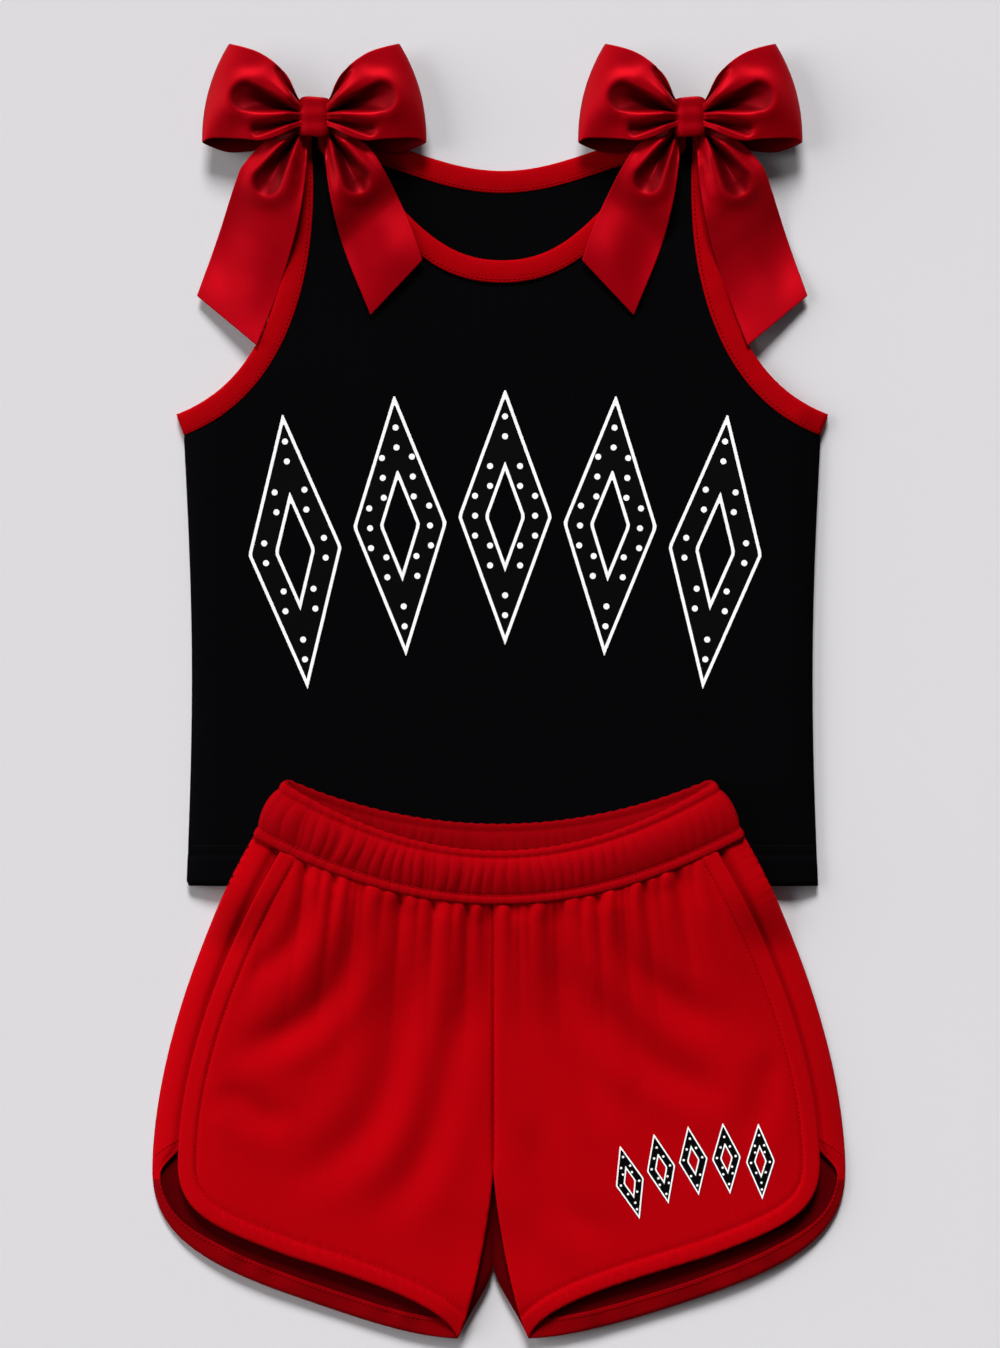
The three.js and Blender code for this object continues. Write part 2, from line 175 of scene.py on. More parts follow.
VIEW_HEIGHT = 0.7185  # of the table in the picture
VIEW_CENTRE = (0.0006, 0.0097)
VIEW_LEVEL = 0.008  # the height above the table at which the view is that tall
LENS_MM, FILM_MM = 100.0, 36.0
camera = put("camera", bpy.data.cameras.new("camera"))
camera.data.lens, camera.data.sensor_width = LENS_MM, FILM_MM
camera.location = (*VIEW_CENTRE, VIEW_HEIGHT * LENS_MM / FILM_MM + VIEW_LEVEL)
bpy.context.scene.camera = camera
bpy.context.scene.view_settings.view_transform = "Standard"

# --- Top, back panel -----------------------------------------------------------------------------
# The back of a sleeveless top, cut from black cotton jersey in one piece with its straps. It lies
# on the table, and its inner face shows through the open neck.

# Sizes in millimetres, measured like a pattern: X from the middle line, Y from the top's hem.
HEM_HALF, WAIST_HALF, UNDERARM = 168.5, 165.6, (170.0, 240.5)
KNOT = (100.0, 409.0)
STRAP_END, GATHER_Y = 417.0, 393.6
STRAP_X = (98.2, 101.8)  # the strap's two edges where the ribbon gathers it
FRONT_NECK_Y, BACK_NECK_Y = 321.6, 370.1
JERSEY = 1.0  # thickness of the cloth
TORSO_ROOM = 5.0  # how far the front stands over the back

neck_low, neck_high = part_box("neck_binding")
TOP_MIDDLE = (500 * (neck_low[0] + neck_high[0]), 1000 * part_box("top_back_panel")[0][1])
band_low, band_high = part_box("waistband_casing")
SHORTS_MIDDLE = (500 * (band_low[0] + band_high[0]), TOP_MIDDLE[1])


def mix(a, b, share):
    """a at a share of 0, b at a share of 1, and in proportion between."""
    return a + (b - a) * share


def ease(start, end, value):
    """0 before start, 1 after end, and a smooth step between."""
    t = np.clip((np.asarray(value, float) - start) / (end - start), 0, 1)
    return t * t * (3 - 2 * t)


def bezier(start, out_of, into, end, steps=40):
    """Points on a cubic curve; out_of and into are handles from its start and its end."""
    start, end = np.array(start, float), np.array(end, float)
    t = np.linspace(0, 1, steps + 1)[:, None]
    a, b = start + out_of, end + into
    return (1 - t) ** 3 * start + 3 * t * (1 - t) ** 2 * a + 3 * t * t * (1 - t) * b + t**3 * end


def lengths(points):
    """The distance travelled along a line, at each of its points."""
    return np.concatenate([[0], np.cumsum(np.linalg.norm(np.diff(points, axis=0), axis=1))])


def read_line(points, along, at):
    """The points of a line at some distances along it, from its own points and their distances."""
    return np.stack([np.interp(at, along, points[:, k]) for k in range(points.shape[1])], axis=-1)


def spaced(points, step):
    """The same line with its points step apart."""
    points = np.asarray(points, float)
    along = lengths(points)
    at = np.linspace(0, along[-1], max(2, int(round(along[-1] / step)) + 1))
    return read_line(points, along, at)


def directions(points):
    """The unit direction of travel at each point of a line."""
    ways = np.gradient(np.asarray(points, float), axis=0)
    return ways / np.maximum(np.linalg.norm(ways, axis=1, keepdims=True), 1e-9)


def aside(points, width):
    """A line moved to the left of its own direction, by one width or a width for each point."""
    ways = directions(points)
    return points + np.stack([-ways[:, 1], ways[:, 0]], axis=1) * np.reshape(width, (-1, 1))


def flipped(points):
    """A line on the other side of the middle, drawn the other way."""
    return (np.asarray(points) * [-1, 1])[::-1]


armhole_seam = bezier(UNDERARM, (-52, 17.5), (-6, -72), (STRAP_X[1], GATHER_Y))
front_neck_seam = bezier((0, FRONT_NECK_Y), (42, 0), (-38, -42), (STRAP_X[0], GATHER_Y))
back_neck_seam = bezier((0, BACK_NECK_Y), (36, 0), (-36, -5), (STRAP_X[0], GATHER_Y))
armhole_seam, front_neck_seam, back_neck_seam = (
    np.vstack([seam, [seam[-1][0], STRAP_END]]) for seam in (armhole_seam, front_neck_seam, back_neck_seam)
)


def strap_height(y):
    """The ribbon's turn under the strap lifts it a little off the table near the knot."""
    return 1.2 * (1 - ease(12.4, 60, KNOT[1] - y))


def back_height(x, y):
    """The back lies flat on the table, but for its straps."""
    return strap_height(y) + JERSEY / 2 + 0.1


def front_height(x, y):
    """The front lies over the open room and comes down to the back at its side seams and straps."""
    puff = ease(-7, 17, UNDERARM[0] - np.abs(x)) * ease(10, 60, KNOT[1] - y)
    return strap_height(y) + 2.1 + (TORSO_ROOM - 0.3) * puff


def inside(points, outline):
    """Which points lie inside a closed outline."""
    x, y = points[:, 0, None], points[:, 1, None]
    a, b = outline, np.roll(outline, -1, axis=0)
    spans = (a[:, 1] > y) != (b[:, 1] > y)
    rise = np.where(np.abs(b[:, 1] - a[:, 1]) < 1e-9, 1e-9, b[:, 1] - a[:, 1])
    hits = spans & (x < a[:, 0] + (y - a[:, 1]) * (b[:, 0] - a[:, 0]) / rise)
    return hits.sum(axis=1) % 2 == 1


def distance(points, line):
    """How far each point lies from a line of points in the plane."""
    nearest = np.full(len(points), 1e9)
    for a, b in zip(line[:-1], line[1:]):
        along = b - a
        t = np.clip(((points - a) @ along) / max(along @ along, 1e-12), 0, 1)
        nearest = np.minimum(nearest, np.linalg.norm(points - a - t[:, None] * along, axis=1))
    return nearest


def make_object(name, points_mm, faces, middle, materials, uv=None, thickness=None, slots=None, shade=None):
    """A smooth mesh from points in millimetres round a middle point, in the frame's metres. Shade
    is painted shade: how deep in a fold each point lies, from 0 to 1, which the material darkens by."""
    mesh = bpy.data.meshes.new(name)
    placed = (np.asarray(points_mm, float) + [middle[0], middle[1], 0]) / 1000
    mesh.from_pydata(placed.tolist(), [], [tuple(int(i) for i in f) for f in faces])
    mesh.polygons.foreach_set("use_smooth", [True] * len(mesh.polygons))
    if uv is not None:
        layer = mesh.uv_layers.new(name="cloth")
        ends = np.zeros(len(mesh.loops), int)
        mesh.loops.foreach_get("vertex_index", ends)
        layer.data.foreach_set("uv", np.asarray(uv, float)[ends].ravel())
    for material in materials:
        mesh.materials.append(material)
    if slots is not None:
        mesh.polygons.foreach_set("material_index", [int(i) for i in slots])
    if shade is not None:
        folded = mesh.attributes.new("painted_fold_shade", "FLOAT", "POINT")
        folded.data.foreach_set("value", np.float32(shade).ravel())
    mesh.update()
    made = put(name, mesh)
    if thickness:
        shell = made.modifiers.new("cloth thickness", "SOLIDIFY")
        shell.thickness, shell.offset, shell.use_even_offset = thickness / 1000, 0, False
    return made


def cut_cloth(outline, height, cell, lines=(), tall=1.0):
    """Points and triangles of a cloth cut to an outline. Lines are rows of extra points, so that
    stitching can press a narrow channel there. Cells may be taller than they are wide."""
    squash = np.array([1, 1 / tall])
    outline = spaced(np.vstack([outline, outline[:1]]), cell)[:-1] * squash
    low, high = outline.min(axis=0), outline.max(axis=0)
    grid = []
    for i, y in enumerate(np.arange(low[1], high[1], cell * 0.87)):
        x = np.arange(low[0] + cell * (i % 2) / 2, high[0], cell)
        grid.append(np.column_stack([x, np.full_like(x, y)]))
    grid = np.vstack(grid)
    grid = grid[inside(grid, outline)]
    closed = np.vstack([outline, outline[:1]])
    grid = grid[distance(grid, closed) > cell * 0.55]
    extra = [spaced(line, 1.6) * squash for line in lines]
    for line in extra:
        grid = grid[distance(grid, line[::2]) > 0.8]
    extra = [line[inside(line, outline) & (distance(line, closed) > 0.4)] for line in extra]
    flat = np.vstack([outline, grid, *extra])
    count = len(outline)
    rim = [(i, (i + 1) % count) for i in range(count)]
    found = delaunay_2d_cdt([Vector(p) for p in flat], rim, [], 1, 1e-5)
    flat = np.array([tuple(p) for p in found[0]]) / squash
    return np.column_stack([flat, height(flat[:, 0], flat[:, 1])]), found[2]


def top_outline(neck_seam, under):
    """Half of a top panel, mirrored: it reaches a little way under each binding."""
    y = np.linspace(0, UNDERARM[1], 30)
    share = y / UNDERARM[1]
    waisted = WAIST_HALF - (HEM_HALF + UNDERARM[0]) / 2
    side = mix(HEM_HALF, UNDERARM[0], share) + waisted * np.sin(np.pi * share)
    armhole = aside(armhole_seam, -under)
    neck = aside(neck_seam, under)[::-1]
    keep = neck[(neck[:, 0] > 0) & (neck[:, 0] < armhole[-1][0])]
    right = np.vstack([np.stack([side, y], axis=1), armhole[1:], keep])
    return np.vstack([right, [[0, neck_seam[0][1] + under]], flipped(right)])


def maths(tree, operation, value, by=None, plus=None):
    """One step of sums: a value with a number, and another value added if asked."""
    settings = {"operation": operation} if by is None else {"operation": operation, 1: by}
    links = {0: value} if plus is None else {0: value, 2: plus}
    return add(tree, "ShaderNodeMath", settings, links).outputs[0]


def ranged(tree, value, low, high, span=(0.0, 1.0)):
    """A value moved from one span of numbers to another."""
    settings = {"From Min": span[0], "From Max": span[1], "To Min": low, "To Max": high}
    return add(tree, "ShaderNodeMapRange", settings, {"Value": value}).outputs[0]


def dyed(tree, share, colour, other):
    """A colour that goes over to another by a share."""
    settings = {"data_type": "RGBA", 6: linear(colour), 7: linear(other)}
    return add(tree, "ShaderNodeMix", settings, {0: share}).outputs[2]


# Cotton jersey, dyed black and washed: wales run up the body and catch a soft grey sheen. Real
# wales are 0.6 mm apart; these are 1.2 mm, so that they show.
def jersey(name, colour, shade, sheen, wale=1.2, coordinate="Object", relief=0.35):
    """Knitted cloth with upright wales, uneven dye and a soft nap."""
    made, tree, out = new_material(name)
    place = object_place(tree)
    if coordinate == "Object":
        source = place
    else:
        source = add(tree, "ShaderNodeUVMap", {"uv_map": coordinate}).outputs["UV"]
    axes = add(tree, "ShaderNodeSeparateXYZ", links={0: source})
    saw = maths(tree, "PINGPONG", maths(tree, "MULTIPLY", axes.outputs["X"], 1000.0 / wale), 0.5)
    along = maths(tree, "MULTIPLY", axes.outputs["Y"], 1250.0 / wale)
    slant = maths(tree, "MULTIPLY_ADD", saw, 1.1, along)
    loops = maths(tree, "SINE", maths(tree, "MULTIPLY", slant, 2 * math.pi))
    knit = maths(tree, "MULTIPLY_ADD", loops, 0.14, saw)
    nap = noise(tree, place, 1400.0, 3.0)
    surface = maths(tree, "MULTIPLY_ADD", nap, 0.5, knit)
    patches = noise(tree, place, 22.0, 5.0)
    worn = maths(tree, "MULTIPLY_ADD", patches, 0.35, ranged(tree, knit, 0.0, 1.0, (0.0, 0.72)))
    surfaced(
        tree,
        out,
        {
            "Specular IOR Level": 0.12,
            "Specular Tint": linear(colour),
            "Sheen Weight": sheen,
            "Sheen Roughness": 0.5,
            "Sheen Tint": linear(colour),
        },
        {
            "Base Color": dyed(tree, worn, shade, colour),
            "Roughness": ranged(tree, patches, 0.82, 0.96),
            "Normal": bumped(tree, surface, relief, 0.00022),
        },
    )
    return made


black_jersey = jersey("black_cotton_jersey", "#08080a", "#040405", 0.004)

points, faces = cut_cloth(top_outline(back_neck_seam, 5.0), back_height, 5.0)
back_panel = make_object("back_of_top", points, faces, TOP_MIDDLE, [black_jersey], thickness=JERSEY)
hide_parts("top_back_panel")
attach(back_panel, "top")

# --- Top, front panel ----------------------------------------------------------------------------
# The front, cut lower at the neck, in the same black jersey. Its bottom edge is turned up once and
# held by a row of black stitches, which press a shallow channel in the cloth.

HEM_DEPTH, HEM_STITCH = 16.6, 21.3
hem_row = np.array([[-HEM_HALF, 0], [HEM_HALF, 0]])
hem_rows = [hem_row + [0, y + shift] for y in (HEM_DEPTH, HEM_STITCH) for shift in (-1.1, 0, 1.1)]


def soft_folds(x, y, waves):
    """A sum of long low waves, each (wavelength, direction in degrees, phase, height)."""
    total = np.zeros_like(x)
    for length, turn, phase, rise in waves:
        way = math.radians(turn)
        total += rise * np.sin(2 * math.pi * (x * math.cos(way) + y * math.sin(way)) / length + phase)
    return total


FRONT_WAVES = [(150, 20, 0.4, 0.35), (95, 100, 1.7, 0.22), (210, 65, 2.4, 0.4)]


def front_cloth(x, y):
    """The front with its few low folds, its turned hem and the channels its stitches press."""
    inner = ease(0, 40, UNDERARM[0] - np.abs(x)) * ease(10, 90, KNOT[1] - y)
    rest = front_height(x, y) + soft_folds(x, y, FRONT_WAVES) * inner
    channel = 0.9 * np.exp(-(((y - HEM_DEPTH) / 0.8) ** 2)) + 0.3 * np.exp(-(((y - HEM_STITCH) / 0.9) ** 2))
    turned = 0.5 * (1 - ease(HEM_DEPTH - 1, HEM_DEPTH + 1, y))
    return rest + turned - channel


points, faces = cut_cloth(top_outline(front_neck_seam, 5.0), front_cloth, 4.0, hem_rows)
front_panel = make_object("front_of_top", points, faces, TOP_MIDDLE, [black_jersey], thickness=JERSEY)
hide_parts("top_front_panel")
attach(front_panel, "top")

# --- Stitching -----------------------------------------------------------------------------------
# Every seam is sewn with spun polyester thread, about four stitches to the centimetre. Each stitch
# is a short thread that dips into the cloth at both ends.


def thread_material(name, colour):
    """Spun polyester: a dull twisted thread."""
    made, tree, out = new_material(name)
    twist = noise(tree, object_place(tree), 2500.0, 2.0)
    tint = linear(colour)
    surfaced(
        tree,
        out,
        {"Base Color": tint, "Roughness": 0.7, "Specular IOR Level": 0.15, "Specular Tint": tint},
        {"Normal": bumped(tree, twist, 0.4, 0.0001)},
    )
    return made


THREAD_SIDES = 5
# Where along a stitch it is measured, its thickness there, and how far it stands out.
STITCH_SHAPE = [(0.08, 0.35, -0.3), (0.3, 1, 0.08), (0.7, 1, 0.08), (0.92, 0.35, -0.3)]


def stitch_row(path, pitch=2.5, radius=0.3):
    """Points and faces of one row of stitches along a path of points in millimetres."""
    ends = spaced(path, pitch)
    points, faces = [], []
    ring = [(math.cos(a), math.sin(a)) for a in np.linspace(0, 2 * math.pi, THREAD_SIDES + 1)[:-1]]
    for a, b in zip(ends[:-1], ends[1:]):
        way = (b - a) / max(np.linalg.norm(b - a), 1e-9)
        side = np.cross(way, [0, 0, 1.0])
        side /= max(np.linalg.norm(side), 1e-9)
        over = np.cross(side, way)
        first = len(points)
        for share, size, dip in STITCH_SHAPE:
            centre = mix(a, b, share) + over * dip * radius * 1.6
            points += [centre + (side * c + over * s) * radius * size for c, s in ring]
        for start in range(first, first + 3 * THREAD_SIDES, THREAD_SIDES):
            for k in range(THREAD_SIDES):
                low, high = start + k, start + (k + 1) % THREAD_SIDES
                faces.append((low, high, high + THREAD_SIDES, low + THREAD_SIDES))
        faces.append(tuple(first + THREAD_SIDES - 1 - k for k in range(THREAD_SIDES)))
        faces.append(tuple(first + 3 * THREAD_SIDES + k for k in range(THREAD_SIDES)))
    return points, faces


def stitching(name, rows, middle, material, body):
    """One piece that holds several rows of stitches."""
    points, faces = [], []
    for row in rows:
        more, more_faces = stitch_row(row)
        faces += [tuple(i + len(points) for i in face) for face in more_faces]
        points += more
    made = make_object(name, points, faces, middle, [material])
    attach(made, body)


black_thread = thread_material("black_spun_thread", "#121213")
red_thread = thread_material("red_spun_thread", "#98020a")

hem_x = np.linspace(-HEM_HALF + 2, HEM_HALF - 2, 120)
hem_y = np.full_like(hem_x, HEM_STITCH)
hem_thread = np.column_stack([hem_x, hem_y, front_cloth(hem_x, hem_y) + JERSEY / 2 + 0.15])
stitching("hem_stitching", [hem_thread], TOP_MIDDLE, black_thread, "top")

# --- Bindings ------------------------------------------------------------------------------------
# A strip of red rib, folded over the raw edge of the neck and of each armhole and sewn down
# through all layers just inside its lower edge. It rounds over where it is folded.

BINDING_WIDTH = 12.0
STITCH_INSET = 1.7
BINDING_PROFILE = [
    (0, 0), (0.1, 0.7), (0.8, 0.95), (STITCH_INSET, 0.68), (2.6, 0.98), (5, 1.12), (8, 1.15),
    (10.4, 1.0), (11.5, 0.65), (12, 0), (11.5, -0.6), (8, -0.9), (3, -0.9), (0.2, -0.6),
]  # fmt: skip


def grid_faces(rows, columns, close_rows=False, close_columns=False):
    """Quads over a grid of points, joined round either way if asked."""
    faces = []
    for i in range(rows if close_rows else rows - 1):
        for j in range(columns if close_columns else columns - 1):
            i2, j2 = (i + 1) % rows, (j + 1) % columns
            faces.append((i * columns + j, i2 * columns + j, i2 * columns + j2, i * columns + j2))
    return faces


def facing_out(faces, mirrored):
    """The faces, each drawn the other way round if the piece is a mirror image."""
    return [face[::-1] for face in faces] if mirrored else faces


def squeezed_width(points):
    """The ribbon squeezes each binding where it passes into the knot."""
    from_knot = np.hypot(np.abs(points[:, 0]) - KNOT[0], points[:, 1] - KNOT[1])
    return mix(4.0, BINDING_WIDTH, ease(12, 45, from_knot))


def bound_edge(seam, side, height):
    """A binding swept along a seam, on the side given by 1 for its left and -1 for its right."""
    seam = spaced(seam, 2.5)
    ways = directions(seam)
    across = np.stack([-ways[:, 1], ways[:, 0]], axis=1) * side
    width = squeezed_width(seam) / BINDING_WIDTH
    ripple = 0.1 * np.sin(lengths(seam) / 5.1) + 0.07 * np.sin(lengths(seam) / 2.3 + 1)
    centre = height(seam[:, 0], seam[:, 1]) + 0.35
    points, uv = [], []
    for i, at in enumerate(seam):
        for a, rise in BINDING_PROFILE:
            flat = at + across[i] * a * width[i]
            proud = ripple[i] * math.sin(math.pi * a / BINDING_WIDTH)
            points.append((*flat, centre[i] + rise + (proud if rise > 0 else 0)))
            uv.append((lengths(seam)[i] / 1000, a / 1000))
    count = len(BINDING_PROFILE)
    faces = grid_faces(len(seam), count, close_columns=True)
    faces += [tuple(range(count)), tuple(range(len(points) - 1, len(points) - 1 - count, -1))]
    flat = seam + across * (STITCH_INSET * width)[:, None]
    stitches = np.column_stack([flat, centre + 0.95])
    return points, facing_out(faces, side < 0), uv, stitches


def joined(parts):
    """Several (points, faces, uv) made into one."""
    points, faces, uv = [], [], []
    for more, more_faces, more_uv in parts:
        faces += [tuple(i + len(points) for i in face) for face in more_faces]
        points += list(more)
        uv += list(more_uv)
    return points, faces, uv


red_rib = jersey("red_cotton_rib", "#b0020b", "#940108", 0.01, wale=1.0, coordinate="cloth", relief=0.25)


def full_seam(half):
    """A neck seam right across, from its right half."""
    return np.vstack([flipped(half), half[1:]])


# Each binding's seam on the back, its seam on the front, and the side it lies on.
BOUND_SEAMS = {
    "neck_binding": (full_seam(back_neck_seam), full_seam(front_neck_seam), 1),
    "left_armhole_binding": (flipped(armhole_seam), flipped(armhole_seam), -1),
    "right_armhole_binding": (armhole_seam, armhole_seam, -1),
}
binding_rows, bindings = [], []
for name, (back_seam, front_seam, side) in BOUND_SEAMS.items():
    parts = [bound_edge(back_seam, side, back_height), bound_edge(front_seam, side, front_height)]
    points, faces, uv = joined([part[:3] for part in parts])
    piece = make_object("rib_" + name, points, faces, TOP_MIDDLE, [red_rib], uv)
    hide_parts(name)
    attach(piece, "top")
    binding_rows += [part[3] for part in parts]
    bindings.append(piece)
stitching("binding_stitching", binding_rows, TOP_MIDDLE, red_thread, "top")

# --- Pressed diamonds ----------------------------------------------------------------------------
# Heat-pressed vinyl film in a row of tall open diamonds: a white backing that shows as a thin
# outline, black over it, and white dots in staggered rows.

FILM_RISE, DOT_RISE, FILM_THICKNESS = 0.28, 0.34, 0.08
FACE_STEPS = 7  # rows of faces across the black face
DOT_SIDES = 12


def film(name, colour, roughness):
    """Pressed vinyl: smooth, with the knit below showing faintly through."""
    made, tree, out = new_material(name)
    grain = noise(tree, object_place(tree), 1100.0, 3.0)
    surfaced(
        tree,
        out,
        {"Base Color": linear(colour), "Specular IOR Level": 0.06},
        {
            "Normal": bumped(tree, grain, 0.2, 0.0002),
            "Roughness": ranged(tree, grain, roughness, roughness + 0.2),
        },
    )
    return made


white_film = film("white_pressed_vinyl", "#fbfbfa", 0.5)
black_film = film("black_pressed_vinyl", "#020202", 0.5)


def turned(points, degrees):
    """Points of the plane turned about its origin."""
    c, s = math.cos(math.radians(degrees)), math.sin(math.radians(degrees))
    return np.stack([points[:, 0] * c - points[:, 1] * s, points[:, 0] * s + points[:, 1] * c], axis=1)


def diamond_row(body, node, count, row, cloth, middle):
    """A row of film diamonds that follows the cloth below it."""
    for i in range(count):
        step = i - (count - 1) / 2
        half_w, half_h = row["width"] / 2, (row["height"] + row["growth"] * step * step) / 2
        slope = math.hypot(half_w, half_h)

        def border(share, inset):
            """A diamond, inset by a real width from its share of the full size."""
            less = inset * slope / (half_w * half_h)
            w, h = half_w * (share - less), half_h * (share - less)
            corner = np.array([[0, -h], [w, 0], [0, h], [-w, 0], [0, -h]])
            return spaced(corner, row["cell"])[:-1]

        def placed(flat, rise):
            """The diamond's own points, moved to its place in the row and laid on the cloth."""
            flat = turned(flat, -row["turn"] * step) + [row["pitch"] * step, -row["drop"] * step * step]
            flat = turned(flat, row["tilt"]) + [row["x"], row["y"]]
            return np.column_stack([flat, cloth(flat[:, 0], flat[:, 1]) + JERSEY / 2 + rise])

        line = row["line"]
        rings = [(1, 0), (1, line), (row["hole"], -line), (row["hole"], 0)]
        count_round = len(border(1, 0))
        points, faces, slots = [], [], []
        bands = []
        for share, inset in rings:
            edge = border(share, inset)
            at = np.linspace(0, len(edge), count_round, endpoint=False)
            closed = np.vstack([edge, edge[:1]])
            bands.append(read_line(closed, np.arange(len(closed)), at))
        layers = [bands[0], bands[1]]
        layers += [mix(bands[1], bands[2], s / FACE_STEPS) for s in range(1, FACE_STEPS)]
        layers += [bands[2], bands[3]]
        for layer in layers:
            points += placed(layer, FILM_RISE).tolist()
        for k in range(len(layers) - 1):
            for j in range(count_round):
                j2 = (j + 1) % count_round
                a, b = k * count_round, (k + 1) * count_round
                faces.append((a + j, a + j2, b + j2, b + j))
                slots.append(0 if k in (0, len(layers) - 2) else 1)
        dot_x = np.arange(-half_w, half_w + 0.1, row["dot_pitch"][0] / 2)
        for n, x in enumerate(dot_x - dot_x.mean()):
            shift = (n % 2) * row["dot_pitch"][1] / 2
            for y in np.arange(-half_h - row["dot_pitch"][1], half_h, row["dot_pitch"][1]) + shift:
                size = abs(x) / half_w + abs(y) / half_h
                room = (row["dot"] / 2 + line * 1.2) * slope / (half_w * half_h)
                if row["hole"] + room < size < 1 - room:
                    turns = np.linspace(0, 2 * math.pi, DOT_SIDES + 1)[:-1]
                    rim = np.stack([np.cos(turns), np.sin(turns)], axis=1)
                    disc = [x, y] + rim * row["dot"] / 2
                    first = len(points)
                    points += placed(disc, DOT_RISE).tolist()
                    faces.append(tuple(range(first, first + DOT_SIDES)))
                    slots.append(0)
        films = [white_film, black_film]
        piece = make_object(
            f"{node}_film_{i + 1}", points, faces, middle, films, thickness=FILM_THICKNESS, slots=slots
        )
        piece.data.polygons.foreach_set("use_smooth", [False] * len(piece.data.polygons))
        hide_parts(f"{node}_diamond_{i + 1}")
        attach(piece, body)


# Where the row stands, then its measures. Each diamond is lower, taller and more turned the further
# it is from the middle one; the hole is a share of the whole.
CHEST_ROW = {
    "x": 1.5, "y": 197.0, "pitch": 56.0, "width": 50.0, "height": 137.0, "drop": 4.6, "growth": 2.7,
    "turn": 2.6, "tilt": 0.0, "hole": 0.36, "line": 1.7, "dot": 3.3, "dot_pitch": (16.0, 10.6), "cell": 2.5,
}  # fmt: skip
diamond_row("top", "chest", 5, CHEST_ROW, front_cloth, TOP_MIDDLE)

# --- Bows ----------------------------------------------------------------------------------------
# A bow of wide red satin ribbon is tied round each strap: two loops, two tails cut at a slant, and
# a plain band of the same ribbon over the middle. The pull of the knot gathers deep soft folds.

RIBBON, RIBBON_WIDTH = 0.55, 38
STRAP_FACE = 4.5  # height of the strap's upper face at the knot
LOOP_MIDDLE = STRAP_FACE + 7.6  # the height that a loop opens up and down from
knot_low, knot_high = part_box("right_bow_knot")
KNOT_TOP = 1000 * knot_high[2]
KNOT_HALF = (500 * (knot_high[0] - knot_low[0]), 500 * (knot_high[1] - knot_low[1]))
KNOT_ROUND = 60  # the length of ribbon in the band round the knot


def through(points, share):
    """A smooth curve through a few points, at the given shares of its length (Catmull-Rom)."""
    points = np.asarray(points, float)
    knots = np.vstack([2 * points[0] - points[1], points, 2 * points[-1] - points[-2]])
    fine = []
    for i in range(len(points) - 1):
        p0, p1, p2, p3 = knots[i : i + 4]
        t = np.linspace(0, 1, 24, endpoint=False)[:, None]
        squared, cubed = 2 * p0 - 5 * p1 + 4 * p2 - p3, 3 * p1 - p0 - 3 * p2 + p3
        fine.append(0.5 * (2 * p1 + (p2 - p0) * t + squared * t**2 + cubed * t**3))
    fine = np.vstack([*fine, points[-1:]])
    along = lengths(fine)
    return read_line(fine, along, np.asarray(share, float) * along[-1])


def off_segment(x, y, start, end):
    """Where along a straight line each point is nearest to it, from 0 to 1, and how far off it is."""
    start, end = np.array(start, float), np.array(end, float)
    way = end - start
    t = np.clip(((x - start[0]) * way[0] + (y - start[1]) * way[1]) / (way @ way), 0, 1)
    return t, np.hypot(x - start[0] - t * way[0], y - start[1] - t * way[1])


def crease(x, y, start, end, widths, depths):
    """A soft valley along a line, whose width and depth change from its start to its end."""
    t, away = off_segment(x, y, start, end)
    return mix(depths[0], depths[1], t) * np.exp(-((away / mix(widths[0], widths[1], t)) ** 2))


def hollow(x, y, start, end, radii, depth, rim=0.5):
    """A teardrop hollow and the painted shade for it: narrow and deep where the knot gathers the ribbon,
    wide, shallow and round at its far end, inside a soft raised crest."""
    t, away = off_segment(x, y, start, end)
    radius = mix(radii[0], radii[1], t**0.85)
    out = away - radius
    within = ease(0, 1, -out / radius)
    crest = np.where(out < 0, np.exp(-((out / 2.2) ** 2)), np.exp(-((out / 5.0) ** 2)))
    shade = ease(0.4, -2.6, out) * (1 - 0.35 * t)
    return rim * crest * ease(0, 0.25, t) - depth * (1 - 0.75 * t) * within, shade


# Polyester satin: long floats along the ribbon give a bright glide of light; its near-black folds are
# partly painted shade. The real floats are 0.15 mm apart; these are 0.5 mm, so that they show.
satin, tree, out = new_material("red_polyester_satin")
weave = add(tree, "ShaderNodeUVMap", {"uv_map": "cloth"}).outputs["UV"]
stretch = add(
    tree, "ShaderNodeVectorMath", {"operation": "MULTIPLY", 1: (60.0, 2000.0, 1.0)}, {0: weave}
).outputs[0]
floats = noise(tree, stretch, 1.0, 2.0)
dye = dyed(tree, noise(tree, object_place(tree), 60.0, 3.0), "#94000a", "#a4000f")
# Painted shade: the ribbon's colour is darkened towards near black by how deep in a fold each point lies.
painted_shade_share = add(tree, "ShaderNodeAttribute", {"attribute_name": "painted_fold_shade"}).outputs["Fac"]
painted_shade_mix = add(tree, "ShaderNodeMix", {"data_type": "RGBA", 7: linear("#260002")}, {0: painted_shade_share, 6: dye})
along_ribbon = add(tree, "ShaderNodeTangent", {"direction_type": "UV_MAP", "uv_map": "cloth"})
surfaced(
    tree,
    out,
    {"Metallic": 0.3, "Specular IOR Level": 0.8, "Specular Tint": linear("#f00c26"), "Anisotropic": 0.5},
    {
        "Base Color": painted_shade_mix.outputs[2],
        "Roughness": ranged(tree, floats, 0.44, 0.56),
        "Normal": bumped(tree, floats, 0.1, 0.0001),
        "Tangent": along_ribbon.outputs[0],
    },
)

# The bow's outlines in the plane, from the knot's middle, with X away from the neck.
LOOP_TOP = [(3, 6), (8.2, 9.6), (14.8, 22.3), (27.8, 33.2), (45.1, 39.2)]
LOOP_LOW_OVER = [
    (3, -5), (8.5, -5.5), (18, -10.4), (27.8, -13.2), (37.9, -12.2), (53.6, -11.4), (59.4, -13.0),
]  # fmt: skip
LOOP_LOW_UNDER = [
    (3, -5), (8.5, -5.5), (18, -12), (28.9, -15.8), (36, -17.3), (46.9, -17.6), (59.4, -13.6),
]  # fmt: skip


